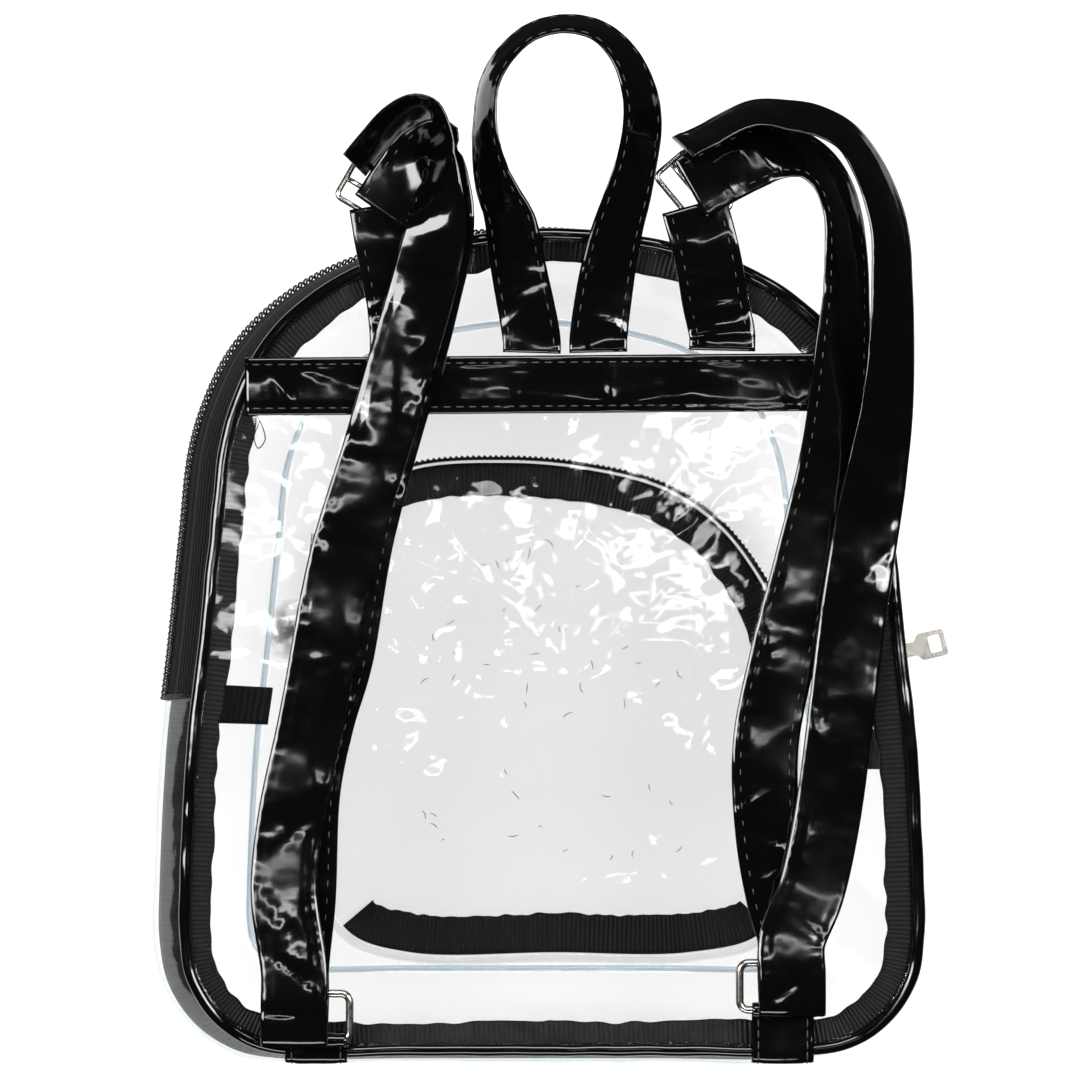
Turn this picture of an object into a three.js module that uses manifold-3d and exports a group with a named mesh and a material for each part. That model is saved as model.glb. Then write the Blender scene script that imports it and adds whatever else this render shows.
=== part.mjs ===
// Clear stadium backpack, lying on its front pocket, in millimetres.
// +Z leaves the back panel, +Y runs to the carry handle, +X is the side of the zip slider.
import * as THREE from "three";
import { mergeVertices } from "three/addons/utils/BufferGeometryUtils.js";
import Module from "manifold-3d";

const wasm = await Module();
wasm.setup();

// Driving dimensions of the bag
const panelHeight = 300;
const panelWidth = 270;
const bottomCorner = 42;
const bagDepth = 78;
const pocketDepth = 17;
const filmThickness = 1;
const gap = 0.3;
const frontInset = 27;
const wallCurve = 2.4;
const gussetBulge = 9;
const gussetLeanX = -7.5;
const gussetLeanY = -1.5;
const frontLeanX = -6.5;
const frontLeanY = -3.6;

// Seams, welts and ribbons
const pipingRadius = 2.3;
const weltRadius = 1.5;
const ribbonThickness = 1;
const ribbonWidth = 9;
const ribbonDrop = 8;
const ribbonCorner = 3;
const jointBandWidth = 15;
const jointBandFoot = 7;

// Zip
const zipEdgeStrip = 13;
const zipTapeWidth = 8;
const zipTeethWidth = 5.6;
const zipTeethHeight = 2.6;
const zipEndRightY = -38;
const zipEndLeftY = -20;
const sliderLength = 12;
const sliderWidth = 9.6;
const sliderHeight = 3;
const sliderCorner = 2.5;
const earThickness = 1.4;
const earWidth = 3;
const earRim = 0.8;
const pullPlaceY = -3;
const pullWidth = 10;
const pullLength = 15;
const pullThickness = 1.6;
const pullNeckWidth = 5.2;
const pullNeckLength = 4.5;
const pullEyeRim = 1.4;
const pullCorner = 1.2;
const pullSlotLength = 4.4;
const pullSlotRim = 1.8;
const pullSlotCorner = 0.8;
const pullPinRadius = 0.9;
const pullPinStandOff = 6;
const pullAngle = 14;

// Webbing, in glossy patent strip
const patentThickness = 1.8;
const bandWidth = 21;
const bandPlace = 0.622;
const bandRise = 1.1;
const handleWidth = 21;
const handleReach = 116;
const handleSpread = 28;
const handleLift = 28;
const handlePlaceX = 4.7;
const strapWidth = 24;
const strapLift = 20;
const anchorStraight = 6;
const strapClearance = 0.6;
const foldShare = 0.7;

// Hardware of the straps
const wireRadius = 1.5;
const ringWidth = 32;
const ringHeight = 20;
const ringCorner = 3;
const tabWidth = 22.5;
const tabThickness = 1.2;
const tabTail = 1;
const slideLength = 28;
const slideHeight = 17;
const slideThickness = 2;
const slideBar = 1.8;
const slideCorner = 3;
const slideWindowCorner = 1;
const slideStandOff = 5.6;

// Pocket
const pocketWidth = 188;
const pocketHeight = 195;
const pocketPlaceX = 1.5;
const pocketPlaceY = -28.5;
const pocketRibbonWidth = 13;
const pocketBottomRibbon = 15;
const pocketZipEndRight = -16;
const pocketZipEndLeft = 0;
const pocketTeethRadius = 1.8;
const pocketHemShare = 0.13;
const pocketSliderShare = 0.03;
const pocketSliderBody = { thickness: 2.6, length: 9, width: 7 };
const pocketSliderPull = { thickness: 1.2, length: 18, width: 5 };

// Levels, from the floor up
const frontPlane = pocketDepth + filmThickness;
const backPlane = frontPlane + bagDepth;
const backFace = backPlane + filmThickness / 2;

// Number of steps in the meshes
const outlineSteps = 60;
const wallSteps = 6;
const tubeSides = 6;
const stepsPerRow = 2;
const ringSteps = 24;
const pocketSteps = 40;

const radians = THREE.MathUtils.degToRad;

// Colours and finishes
const finishes = {
  film: { color: 0xe9edf0, roughness: 0.08, metalness: 0 },
  patent: { color: 0x0a0a0c, roughness: 0.14, metalness: 0 },
  ribbon: { color: 0x1b1b1d, roughness: 0.85, metalness: 0 },
  zip: { color: 0x101012, roughness: 0.55, metalness: 0 },
  nickel: { color: 0xc8c6c0, roughness: 0.25, metalness: 1 },
};

const bag = new THREE.Group();

function addPart(name, geometry, finish) {
  const mesh = new THREE.Mesh(geometry, new THREE.MeshStandardMaterial(finishes[finish]));
  mesh.name = name;
  bag.add(mesh);
}

// Faces are turned outwards when the volume that they enclose comes out negative
function turnOutwards(geometry) {
  const position = geometry.attributes.position;
  const index = geometry.index.array;
  const a = new THREE.Vector3();
  const b = new THREE.Vector3();
  const c = new THREE.Vector3();
  let volume = 0;
  for (let i = 0; i < index.length; i += 3) {
    a.fromBufferAttribute(position, index[i]);
    b.fromBufferAttribute(position, index[i + 1]);
    c.fromBufferAttribute(position, index[i + 2]);
    volume += a.dot(b.cross(c));
  }
  if (volume < 0) {
    for (let i = 0; i < index.length; i += 3) {
      [index[i + 1], index[i + 2]] = [index[i + 2], index[i + 1]];
    }
  }
  return geometry;
}

function bareGeometry(geometry) {
  const bare = geometry.clone();
  bare.deleteAttribute("normal");
  bare.deleteAttribute("uv");
  return mergeVertices(bare, 1e-4);
}

function toManifold(geometry) {
  const bare = bareGeometry(geometry);
  return new wasm.Manifold(
    new wasm.Mesh({
      numProp: 3,
      vertProperties: new Float32Array(bare.attributes.position.array),
      triVerts: new Uint32Array(bare.index.array),
    }),
  );
}

function fromManifold(solid) {
  const mesh = solid.getMesh();
  const geometry = new THREE.BufferGeometry();
  geometry.setAttribute("position", new THREE.BufferAttribute(new Float32Array(mesh.vertProperties), 3));
  geometry.setIndex(new THREE.BufferAttribute(new Uint32Array(mesh.triVerts), 1));
  return geometry;
}

// A loft through loops with equal numbers of points, closed on itself or capped with fans
function loft(loops, closed) {
  const count = loops[0].length;
  const positions = loops.flat().flatMap((point) => [point.x, point.y, point.z]);
  const index = [];
  const last = closed ? loops.length : loops.length - 1;
  for (let i = 0; i < last; i += 1) {
    const next = ((i + 1) % loops.length) * count;
    for (let j = 0; j < count; j += 1) {
      const k = (j + 1) % count;
      index.push(i * count + j, i * count + k, next + k);
      index.push(i * count + j, next + k, next + j);
    }
  }
  if (!closed) {
    const end = (loops.length - 1) * count;
    const half = count / 2;
    for (let j = 0; j < half - 1; j += 1) {
      const far = count - 1 - j;
      index.push(far, far - 1, j + 1, far, j + 1, j);
      index.push(end + j, end + j + 1, end + far - 1, end + j, end + far - 1, end + far);
    }
  }
  const geometry = new THREE.BufferGeometry();
  geometry.setAttribute("position", new THREE.Float32BufferAttribute(positions, 3));
  geometry.setIndex(index);
  return turnOutwards(geometry);
}

// The second side of a thin section: the line moved along its own normal
function offsetLine(line, distance) {
  return line.map((point, i) => {
    const before = line[Math.max(i - 1, 0)];
    const after = line[Math.min(i + 1, line.length - 1)];
    const along = new THREE.Vector2().subVectors(after, before).normalize();
    return new THREE.Vector2(point.x - along.y * distance, point.y + along.x * distance);
  });
}

function stripSection(line, thickness) {
  return [...line, ...offsetLine(line, thickness).reverse()];
}

// A closed outline, sampled at equal steps, with its outward normals
function makeOutline(points) {
  const curve = new THREE.CatmullRomCurve3(points, true, "centripetal");
  curve.arcLengthDivisions = 800;
  const at = (t) => curve.getPointAt(((t % 1) + 1) % 1);
  const normal = (t) => {
    const tangent = curve.getTangentAt(((t % 1) + 1) % 1);
    return new THREE.Vector3(tangent.y, -tangent.x, 0).normalize();
  };
  return { at, normal, length: curve.getLength() };
}

// The share of the way round at which the outline passes a level, on one side
function shareAtLevel(outline, level, side) {
  const stepCount = 2000;
  let best = 0;
  let nearest = Infinity;
  for (let i = 0; i < stepCount; i += 1) {
    const point = outline.at(i / stepCount);
    const distance = Math.abs(point.y - level);
    if (point.x * side > 0 && distance < nearest) {
      nearest = distance;
      best = i / stepCount;
    }
  }
  return best;
}

// Half widths of the back panel, as shares of its half width, at shares of its height
const sideRows = [
  { height: 0.2, halfWidth: 1.0 },
  { height: 0.38, halfWidth: 0.98 },
  { height: 0.5, halfWidth: 0.95 },
  { height: 0.64, halfWidth: 0.918 },
  { height: 0.74, halfWidth: 0.893 },
  { height: 0.8, halfWidth: 0.853 },
  { height: 0.86, halfWidth: 0.785 },
  { height: 0.912, halfWidth: 0.675 },
  { height: 0.955, halfWidth: 0.52 },
  { height: 0.985, halfWidth: 0.3 },
];

function panelOutline() {
  const rightSide = [];
  const cornerX = panelWidth / 2 - bottomCorner;
  const cornerY = -panelHeight / 2 + bottomCorner;
  rightSide.push(new THREE.Vector3(cornerX / 2, -panelHeight / 2, 0));
  for (const degrees of [0, 22, 45, 68, 90]) {
    const turn = radians(degrees - 90);
    rightSide.push(
      new THREE.Vector3(
        cornerX + bottomCorner * Math.cos(turn),
        cornerY + bottomCorner * Math.sin(turn),
        0,
      ),
    );
  }
  for (const row of sideRows) {
    rightSide.push(
      new THREE.Vector3((row.halfWidth * panelWidth) / 2, (row.height - 0.5) * panelHeight, 0),
    );
  }
  const leftSide = rightSide.map((point) => new THREE.Vector3(-point.x, point.y, 0)).reverse();
  const bottom = new THREE.Vector3(0, -panelHeight / 2, 0);
  const top = new THREE.Vector3(0, panelHeight / 2, 0);
  return makeOutline([bottom, ...rightSide, top, ...leftSide]);
}

const outline = panelOutline();

// How far the side wall stands out from the outline at a drop below the back plane
function wallOut(drop) {
  const share = drop / bagDepth;
  const bulge = gussetBulge * Math.sin(Math.PI * share);
  return -pipingRadius + bulge - (frontInset - pipingRadius) * Math.max(share, 0) ** wallCurve;
}

// The bag leans a little to one side as it lies, most at mid depth
function lean(drop) {
  const share = drop / bagDepth;
  const sway = Math.sin(Math.PI * share);
  return new THREE.Vector3(
    frontLeanX * share + gussetLeanX * sway,
    frontLeanY * share + gussetLeanY * sway,
    0,
  );
}

// A point at a share of the way round, a distance out from the outline and a drop below the back plane
function place(t, out, drop) {
  const point = outline.at(t).addScaledVector(outline.normal(t), out).add(lean(drop));
  point.z = backPlane - drop;
  return point;
}

// A ring or an arc with the same section all along, given as points of out and drop or level.
// Every arc turns at the same places as a whole ring, so that neighbours stay parallel.
function around(placeAt, section, from, to, stepsRound) {
  const closed = to - from >= 1;
  const shares = [from];
  const clear = 0.2;
  for (let k = Math.ceil(from * stepsRound + clear); k < to * stepsRound - clear; k += 1) {
    shares.push(k / stepsRound);
  }
  if (!closed) {
    shares.push(to);
  }
  const loops = shares.map((t) => section.map((point) => placeAt(t, point.x, point.y)));
  return loft(loops, closed);
}

function aroundBag(section, from = 0, to = 1) {
  return around(place, section, from, to, outlineSteps);
}

function wallLine(fromDrop, toDrop, steps, inward = 0) {
  const line = [];
  for (let i = 0; i <= steps; i += 1) {
    const drop = fromDrop + ((toDrop - fromDrop) * i) / steps;
    line.push(new THREE.Vector2(wallOut(drop) - inward, drop));
  }
  return line;
}

function circleSection(out, drop, radiusOut, radiusDrop = radiusOut) {
  return new THREE.EllipseCurve(out, drop, radiusOut, radiusDrop)
    .getPoints(tubeSides)
    .slice(0, tubeSides);
}

// A half round bead on a flat base
function beadSection(out, drop, height, halfWidth) {
  return new THREE.EllipseCurve(out, drop, height, halfWidth, -Math.PI / 2, Math.PI / 2).getPoints(5);
}

function plate(points, bottom, thickness) {
  const shape = new THREE.Shape(points.map((point) => new THREE.Vector2(point.x, point.y)));
  const geometry = new THREE.ExtrudeGeometry(shape, { depth: thickness, bevelEnabled: false });
  geometry.translate(0, 0, bottom);
  return geometry;
}

// Panels and walls
const zipDrop = pipingRadius + gap + zipEdgeStrip + gap + zipTapeWidth + gap + zipTeethWidth / 2;
const zipEndRight = shareAtLevel(outline, zipEndRightY, 1);
const zipEndLeft = shareAtLevel(outline, zipEndLeftY, -1);
const endGap = gap / outline.length;
const wallTop = pipingRadius + gap;
const wallFoot = bagDepth - filmThickness - gap;

function panelEdge(out, drop) {
  const points = [];
  for (let i = 0; i < outlineSteps; i += 1) {
    points.push(place(i / outlineSteps, out, drop));
  }
  return points;
}

function makePanels() {
  const backEdge = panelEdge(-2 * pipingRadius - gap, 0);
  addPart("back_panel", plate(backEdge, backPlane - filmThickness / 2, filmThickness), "film");
  const frontEdge = panelEdge(-frontInset, bagDepth);
  addPart("front_panel", plate(frontEdge, frontPlane, filmThickness), "film");
  const weltOut = -frontInset + gap + weltRadius;
  const weltDrop = bagDepth - filmThickness / 2;
  addPart("front_welt", aroundBag(circleSection(weltOut, weltDrop, weltRadius)), "film");
  addPart("back_piping", aroundBag(circleSection(-pipingRadius, 0, pipingRadius)), "patent");
}

// The foot of the wall stops above the welt that joins it to the front panel
const weltTop = bagDepth - filmThickness / 2 - weltRadius - gap;

function makeWalls() {
  const lower = stripSection(wallLine(wallTop, weltTop, wallSteps + 2), filmThickness);
  const lowerStart = zipEndLeft + endGap - 1;
  const lowerEnd = zipEndRight - endGap;
  addPart("gusset_lower", aroundBag(lower, lowerStart, lowerEnd), "film");

  const tapeBackTop = wallTop + zipEdgeStrip + gap;
  const tapeBackFoot = tapeBackTop + zipTapeWidth;
  const tapeFrontTop = zipDrop + zipTeethWidth / 2 + gap;
  const tapeFrontFoot = tapeFrontTop + zipTapeWidth;
  const strips = [
    { name: "zip_edge_strip", from: wallTop, to: wallTop + zipEdgeStrip, steps: 2, finish: "patent" },
    { name: "zip_tape_back", from: tapeBackTop, to: tapeBackFoot, steps: 1, finish: "zip" },
    { name: "zip_tape_front", from: tapeFrontTop, to: tapeFrontFoot, steps: 1, finish: "zip" },
    { name: "gusset_upper", from: tapeFrontFoot + gap, to: weltTop, steps: 5, finish: "film" },
  ];
  for (const strip of strips) {
    const section = stripSection(wallLine(strip.from, strip.to, strip.steps), filmThickness);
    addPart(strip.name, aroundBag(section, zipEndRight, zipEndLeft), strip.finish);
  }
  const teeth = beadSection(wallOut(zipDrop) - filmThickness, zipDrop, zipTeethHeight, zipTeethWidth / 2);
  addPart("zip_teeth", aroundBag(teeth, zipEndRight, zipEndLeft), "zip");
}

// The woven ribbon that covers the raw seam inside, an angle of two legs
function makeSeamRibbon() {
  const top = filmThickness / 2 + gap;
  const inner = -2 * pipingRadius - gap;
  const inward = filmThickness + 1.7 * gap;
  const legTop = top + ribbonCorner;
  const line = [
    new THREE.Vector2(inner - ribbonWidth, top),
    new THREE.Vector2(inner, top),
    ...wallLine(legTop, legTop + ribbonDrop, 1, inward),
  ];
  addPart("seam_ribbon", aroundBag(stripSection(line, ribbonThickness)), "ribbon");
  const bandTop = legTop + ribbonDrop + gap;
  const bandFoot = bagDepth - jointBandFoot;
  const half = jointBandWidth / outline.length / 2;
  const band = stripSection(wallLine(bandTop, bandFoot, wallSteps, inward + gap), ribbonThickness);
  for (const joint of [
    { name: "joint_band_right", at: zipEndRight },
    { name: "joint_band_left", at: zipEndLeft },
  ]) {
    addPart(joint.name, aroundBag(band, joint.at - half, joint.at + half), "ribbon");
  }
}

// The slider and its pull
const pullShare = shareAtLevel(outline, pullPlaceY, 1);
const pullSeat = place(pullShare, wallOut(zipDrop), zipDrop);
const pullFacing = outline.normal(pullShare);
const pullBearing = Math.atan2(pullFacing.y, pullFacing.x);
const teethProud = zipTeethHeight - filmThickness;
const pinDistance = teethProud + gap + pullPinStandOff;
const pullPin = pullSeat.clone().addScaledVector(pullFacing, pinDistance);

function roundedBar(length, width, corner) {
  const shape = new THREE.Shape();
  const x = length / 2;
  const y = width / 2;
  shape.moveTo(-x + corner, -y);
  shape.lineTo(x - corner, -y);
  shape.absarc(x - corner, -y + corner, corner, -Math.PI / 2, 0, false);
  shape.lineTo(x, y - corner);
  shape.absarc(x - corner, y - corner, corner, 0, Math.PI / 2, false);
  shape.lineTo(-x + corner, y);
  shape.absarc(-x + corner, y - corner, corner, Math.PI / 2, Math.PI, false);
  shape.lineTo(-x, -y + corner);
  shape.absarc(-x + corner, -y + corner, corner, Math.PI, Math.PI * 1.5, false);
  return shape;
}

function makeSlider() {
  const body = new THREE.ExtrudeGeometry(roundedBar(sliderLength, sliderWidth, sliderCorner), {
    depth: sliderHeight,
    bevelEnabled: false,
    curveSegments: 3,
  });
  // The body is drawn flat, then stood up so that its top looks out of the tape
  body.rotateZ(Math.PI / 2);
  body.rotateY(Math.PI / 2);
  body.translate(teethProud + gap, 0, 0);
  const earReach = pullPinStandOff + pullPinRadius + earRim;
  const earPlace = pullThickness / 2 + 2 * gap + earThickness / 2;
  let solid = toManifold(body);
  for (const side of [-1, 1]) {
    const ear = new THREE.BoxGeometry(earReach, earWidth, earThickness);
    ear.translate(teethProud + gap + earReach / 2, 0, side * earPlace);
    solid = solid.add(toManifold(ear));
  }
  const pin = new THREE.CylinderGeometry(pullPinRadius, pullPinRadius, 2 * earPlace, 12);
  pin.rotateX(Math.PI / 2);
  pin.translate(pinDistance, 0, 0);
  solid = solid.add(toManifold(pin));
  const geometry = fromManifold(solid);
  geometry.rotateZ(pullBearing);
  geometry.translate(pullSeat.x, pullSeat.y, pullSeat.z);
  addPart("zip_slider", geometry, "nickel");
}

function makePull() {
  const eye = pullPinRadius + gap + pullEyeRim;
  const tipX = pullLength - pullCorner;
  const tipY = pullWidth / 2 - pullCorner;
  const neckFrom = pullNeckLength - 1;
  const neckTo = pullNeckLength + 1;
  const shape = new THREE.Shape();
  shape.moveTo(0, -eye);
  shape.lineTo(neckFrom, -pullNeckWidth / 2);
  shape.lineTo(neckTo, -pullWidth / 2);
  shape.lineTo(tipX, -pullWidth / 2);
  shape.absarc(tipX, -tipY, pullCorner, -Math.PI / 2, 0, false);
  shape.absarc(tipX, tipY, pullCorner, 0, Math.PI / 2, false);
  shape.lineTo(neckTo, pullWidth / 2);
  shape.lineTo(neckFrom, pullNeckWidth / 2);
  shape.lineTo(0, eye);
  shape.absarc(0, 0, eye, Math.PI / 2, Math.PI * 1.5, false);
  const eyeHole = new THREE.Path();
  eyeHole.absarc(0, 0, pullPinRadius + gap, 0, Math.PI * 2, true);
  shape.holes.push(eyeHole);
  const slotWidth = pullWidth - 2 * pullSlotRim;
  const slotPlace = pullLength - pullSlotLength / 2 - pullSlotRim;
  const slotPoints = roundedBar(pullSlotLength, slotWidth, pullSlotCorner).getPoints(4);
  shape.holes.push(
    new THREE.Path(slotPoints.map((point) => new THREE.Vector2(point.x + slotPlace, point.y))),
  );
  const geometry = new THREE.ExtrudeGeometry(shape, {
    depth: pullThickness,
    bevelEnabled: false,
    curveSegments: 8,
  });
  geometry.translate(0, 0, -pullThickness / 2);
  geometry.rotateZ(radians(pullAngle));
  geometry.translate(pullPin.x, pullPin.y, pullPin.z);
  addPart("zip_pull", geometry, "nickel");
}

// A flat strip along a path: each row holds its place, the bearing of its width and its tilt
function strip(rows, width, thickness, perRow) {
  const path = new THREE.CatmullRomCurve3(
    rows.map((row) => new THREE.Vector3(row.x, row.y, row.z)),
    false,
    "centripetal",
  );
  const turns = rows.map((row) => new THREE.Vector2(row.bearing, row.tilt));
  const loops = [];
  const steps = (rows.length - 1) * perRow;
  for (let i = 0; i <= steps; i += 1) {
    const share = i / steps;
    const centre = path.getPoint(share);
    const tangent = path.getTangent(share);
    const position = share * (rows.length - 1);
    const before = Math.min(Math.floor(position + 1e-9), rows.length - 2);
    const turn = turns[before].clone().lerp(turns[before + 1], position - before);
    const bearing = radians(turn.x);
    const tilt = radians(turn.y);
    const across = new THREE.Vector3(
      Math.cos(bearing) * Math.cos(tilt),
      Math.sin(bearing) * Math.cos(tilt),
      Math.sin(tilt),
    );
    across.addScaledVector(tangent, -across.dot(tangent)).normalize();
    const up = new THREE.Vector3().crossVectors(across, tangent).normalize();
    const corner = (sideWidth, sideUp) =>
      centre
        .clone()
        .addScaledVector(across, (sideWidth * width) / 2)
        .addScaledVector(up, (sideUp * thickness) / 2);
    loops.push([corner(-1, -1), corner(1, -1), corner(1, 1), corner(-1, 1)]);
  }
  return loft(loops, false);
}

// The band across the back, under which the handle and the anchor straps are sewn
const bandLevel = (bandPlace * panelHeight) / 2;
const bandTop = bandLevel + bandWidth / 2;

function halfWidthAt(level) {
  return outline.at(shareAtLevel(outline, level, 1)).x - 2 * pipingRadius - 4 * gap;
}

function makeBackBand() {
  const corners = [];
  for (const end of [-1, 1]) {
    for (const edge of [end, -end]) {
      const level = bandLevel + (edge * bandWidth) / 2;
      corners.push(new THREE.Vector2(end * halfWidthAt(level), level + end * bandRise));
    }
  }
  addPart("back_band", plate(corners, backFace + gap, patentThickness), "patent");
}

// Places along the handle, as shares of its spread, reach and lift
const handleRows = [
  { across: -0.43, up: 0.0, lift: 0.0, bearing: 0, tilt: 0 },
  { across: -0.43, up: 0.04, lift: 0.01, bearing: 0, tilt: 0 },
  { across: -0.6, up: 0.26, lift: 0.24, bearing: 0, tilt: 16 },
  { across: -0.7, up: 0.4, lift: 0.58, bearing: 6, tilt: 30 },
  { across: -0.88, up: 0.5, lift: 0.77, bearing: 4, tilt: 46 },
  { across: -0.99, up: 0.6, lift: 0.88, bearing: 0, tilt: 60 },
  { across: -1.02, up: 0.7, lift: 0.93, bearing: -8, tilt: 66 },
  { across: -0.96, up: 0.81, lift: 0.95, bearing: -25, tilt: 68 },
  { across: -0.74, up: 0.9, lift: 1.0, bearing: -50, tilt: 66 },
  { across: -0.43, up: 0.965, lift: 1.0, bearing: -70, tilt: 64 },
  { across: -0.02, up: 0.99, lift: 1.0, bearing: -92, tilt: 64 },
  { across: 0.42, up: 0.965, lift: 1.0, bearing: -115, tilt: 62 },
  { across: 0.76, up: 0.885, lift: 0.96, bearing: -140, tilt: 56 },
  { across: 0.95, up: 0.77, lift: 0.88, bearing: -165, tilt: 50 },
  { across: 0.97, up: 0.67, lift: 0.78, bearing: -180, tilt: 48 },
  { across: 0.9, up: 0.57, lift: 0.66, bearing: -185, tilt: 46 },
  { across: 0.8, up: 0.48, lift: 0.6, bearing: -188, tilt: 38 },
  { across: 0.66, up: 0.37, lift: 0.42, bearing: -186, tilt: 28 },
  { across: 0.55, up: 0.25, lift: 0.17, bearing: -182, tilt: 16 },
  { across: 0.43, up: 0.04, lift: 0.01, bearing: -180, tilt: 0 },
  { across: 0.43, up: 0.0, lift: 0.0, bearing: -180, tilt: 0 },
];

// Strips that are sewn to the band start at its top edge, just above the panel
const sewnLevel = backFace + 2 * gap + patentThickness / 2;
const sewnEdge = (x) => bandTop + gap + (bandRise * x) / (panelWidth / 2) + bandRise / 2;

function makeHandle() {
  const rows = handleRows.map((row) => {
    const x = handlePlaceX + row.across * handleSpread;
    return {
      x,
      y: sewnEdge(x) + row.up * handleReach,
      z: sewnLevel + row.lift * handleLift,
      bearing: row.bearing,
      tilt: row.tilt,
    };
  });
  addPart("handle", strip(rows, handleWidth, patentThickness, stepsPerRow), "patent");
}

// Heights of what lies on the back panel
const underLayer = backFace + strapClearance + patentThickness / 2;
const ringLevel = backPlane + pipingRadius + gap + tabThickness + gap + wireRadius;
const slideLevel = backFace + slideStandOff;

// Places along each layer of the straps, as shares of the half width, the half height and the lift.
// They run from above the slide, over the top of the bag and down towards the ring.
const leftLower = [
  { across: -0.453, up: 1.026, lift: 0.56, bearing: -38, tilt: 0 },
  { across: -0.43, up: 1.055, lift: 0.56, bearing: -38, tilt: 0 },
  { across: -0.41, up: 1.082, lift: 0.56, bearing: -38, tilt: -3 },
  { across: -0.37, up: 1.134, lift: 0.53, bearing: -44, tilt: -14 },
  { across: -0.342, up: 1.174, lift: 0.48, bearing: -60, tilt: -32 },
  { across: -0.312, up: 1.198, lift: 0.44, bearing: -90, tilt: -50 },
  { across: -0.284, up: 1.192, lift: 0.42, bearing: -124, tilt: -54 },
  { across: -0.296, up: 1.155, lift: 0.5, bearing: -154, tilt: -46 },
  { across: -0.3, up: 1.095, lift: 0.66, bearing: -174, tilt: -22 },
  { across: -0.293, up: 1.024, lift: 0.72, bearing: -184, tilt: -10 },
  { across: -0.301, up: 0.947, lift: 0.61, bearing: -191, tilt: -4 },
  { across: -0.327, up: 0.85, lift: 0.42, bearing: -193, tilt: -2 },
  { across: -0.37, up: 0.7, lift: 0.27, bearing: -194, tilt: 0 },
  { across: -0.427, up: 0.536, lift: 0.19, bearing: -195, tilt: 0 },
  { across: -0.513, up: 0.246, lift: 0.11, bearing: -194, tilt: 0 },
  { across: -0.569, up: -0.043, lift: 0.08, bearing: -193, tilt: 0 },
  { across: -0.617, up: -0.188, lift: 0.08, bearing: -192, tilt: 0 },
  { across: -0.655, up: -0.357, lift: 0.08, bearing: -188, tilt: 0 },
  { across: -0.668, up: -0.62, lift: 0.08, bearing: -184, tilt: 0 },
];
const leftUpper = [
  { across: -0.522, up: 1.136, lift: 0.96, bearing: -39, tilt: -69 },
  { across: -0.476, up: 1.186, lift: 0.96, bearing: -40, tilt: -69 },
  { across: -0.415, up: 1.245, lift: 0.94, bearing: -46, tilt: -69 },
  { across: -0.36, up: 1.27, lift: 0.92, bearing: -76, tilt: -70 },
  { across: -0.318, up: 1.258, lift: 0.9, bearing: -118, tilt: -70 },
  { across: -0.297, up: 1.212, lift: 0.9, bearing: -152, tilt: -68 },
  { across: -0.295, up: 1.145, lift: 0.87, bearing: -172, tilt: -62 },
  { across: -0.298, up: 1.075, lift: 0.92, bearing: -181, tilt: -46 },
  { across: -0.306, up: 0.985, lift: 0.92, bearing: -188, tilt: -20 },
  { across: -0.344, up: 0.85, lift: 0.6, bearing: -193, tilt: -6 },
  { across: -0.392, up: 0.705, lift: 0.46, bearing: -194, tilt: 0 },
  { across: -0.467, up: 0.473, lift: 0.38, bearing: -195, tilt: 0 },
  { across: -0.564, up: 0.188, lift: 0.3, bearing: -193, tilt: 0 },
  { across: -0.641, up: -0.179, lift: 0.27, bearing: -191, tilt: 0 },
  { across: -0.7, up: -0.435, lift: 0.3, bearing: -188, tilt: 0 },
  { across: -0.715, up: -0.604, lift: 0.38, bearing: -184, tilt: 0 },
];
const rightLower = [
  { across: 0.366, up: 1.086, lift: 0.56, bearing: -52, tilt: 0 },
  { across: 0.41, up: 1.108, lift: 0.56, bearing: -54, tilt: 0 },
  { across: 0.46, up: 1.133, lift: 0.55, bearing: -58, tilt: 2 },
  { across: 0.522, up: 1.16, lift: 0.5, bearing: -66, tilt: 8 },
  { across: 0.575, up: 1.176, lift: 0.45, bearing: -84, tilt: 20 },
  { across: 0.632, up: 1.176, lift: 0.42, bearing: -98, tilt: 34 },
  { across: 0.69, up: 1.158, lift: 0.42, bearing: -114, tilt: 44 },
  { across: 0.742, up: 1.108, lift: 0.46, bearing: -140, tilt: 50 },
  { across: 0.772, up: 1.035, lift: 0.5, bearing: -163, tilt: 50 },
  { across: 0.782, up: 0.947, lift: 0.5, bearing: -177, tilt: 46 },
  { across: 0.783, up: 0.826, lift: 0.48, bearing: -183, tilt: 40 },
  { across: 0.775, up: 0.705, lift: 0.46, bearing: -187, tilt: 30 },
  { across: 0.765, up: 0.56, lift: 0.39, bearing: -190, tilt: 16 },
  { across: 0.746, up: 0.43, lift: 0.27, bearing: -192, tilt: 4 },
  { across: 0.682, up: 0.188, lift: 0.12, bearing: -195, tilt: 0 },
  { across: 0.617, up: -0.039, lift: 0.09, bearing: -192, tilt: 0 },
  { across: 0.572, up: -0.251, lift: 0.08, bearing: -180, tilt: 0 },
  { across: 0.58, up: -0.464, lift: 0.08, bearing: -176, tilt: 0 },
  { across: 0.61, up: -0.62, lift: 0.08, bearing: -176, tilt: 0 },
];
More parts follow.
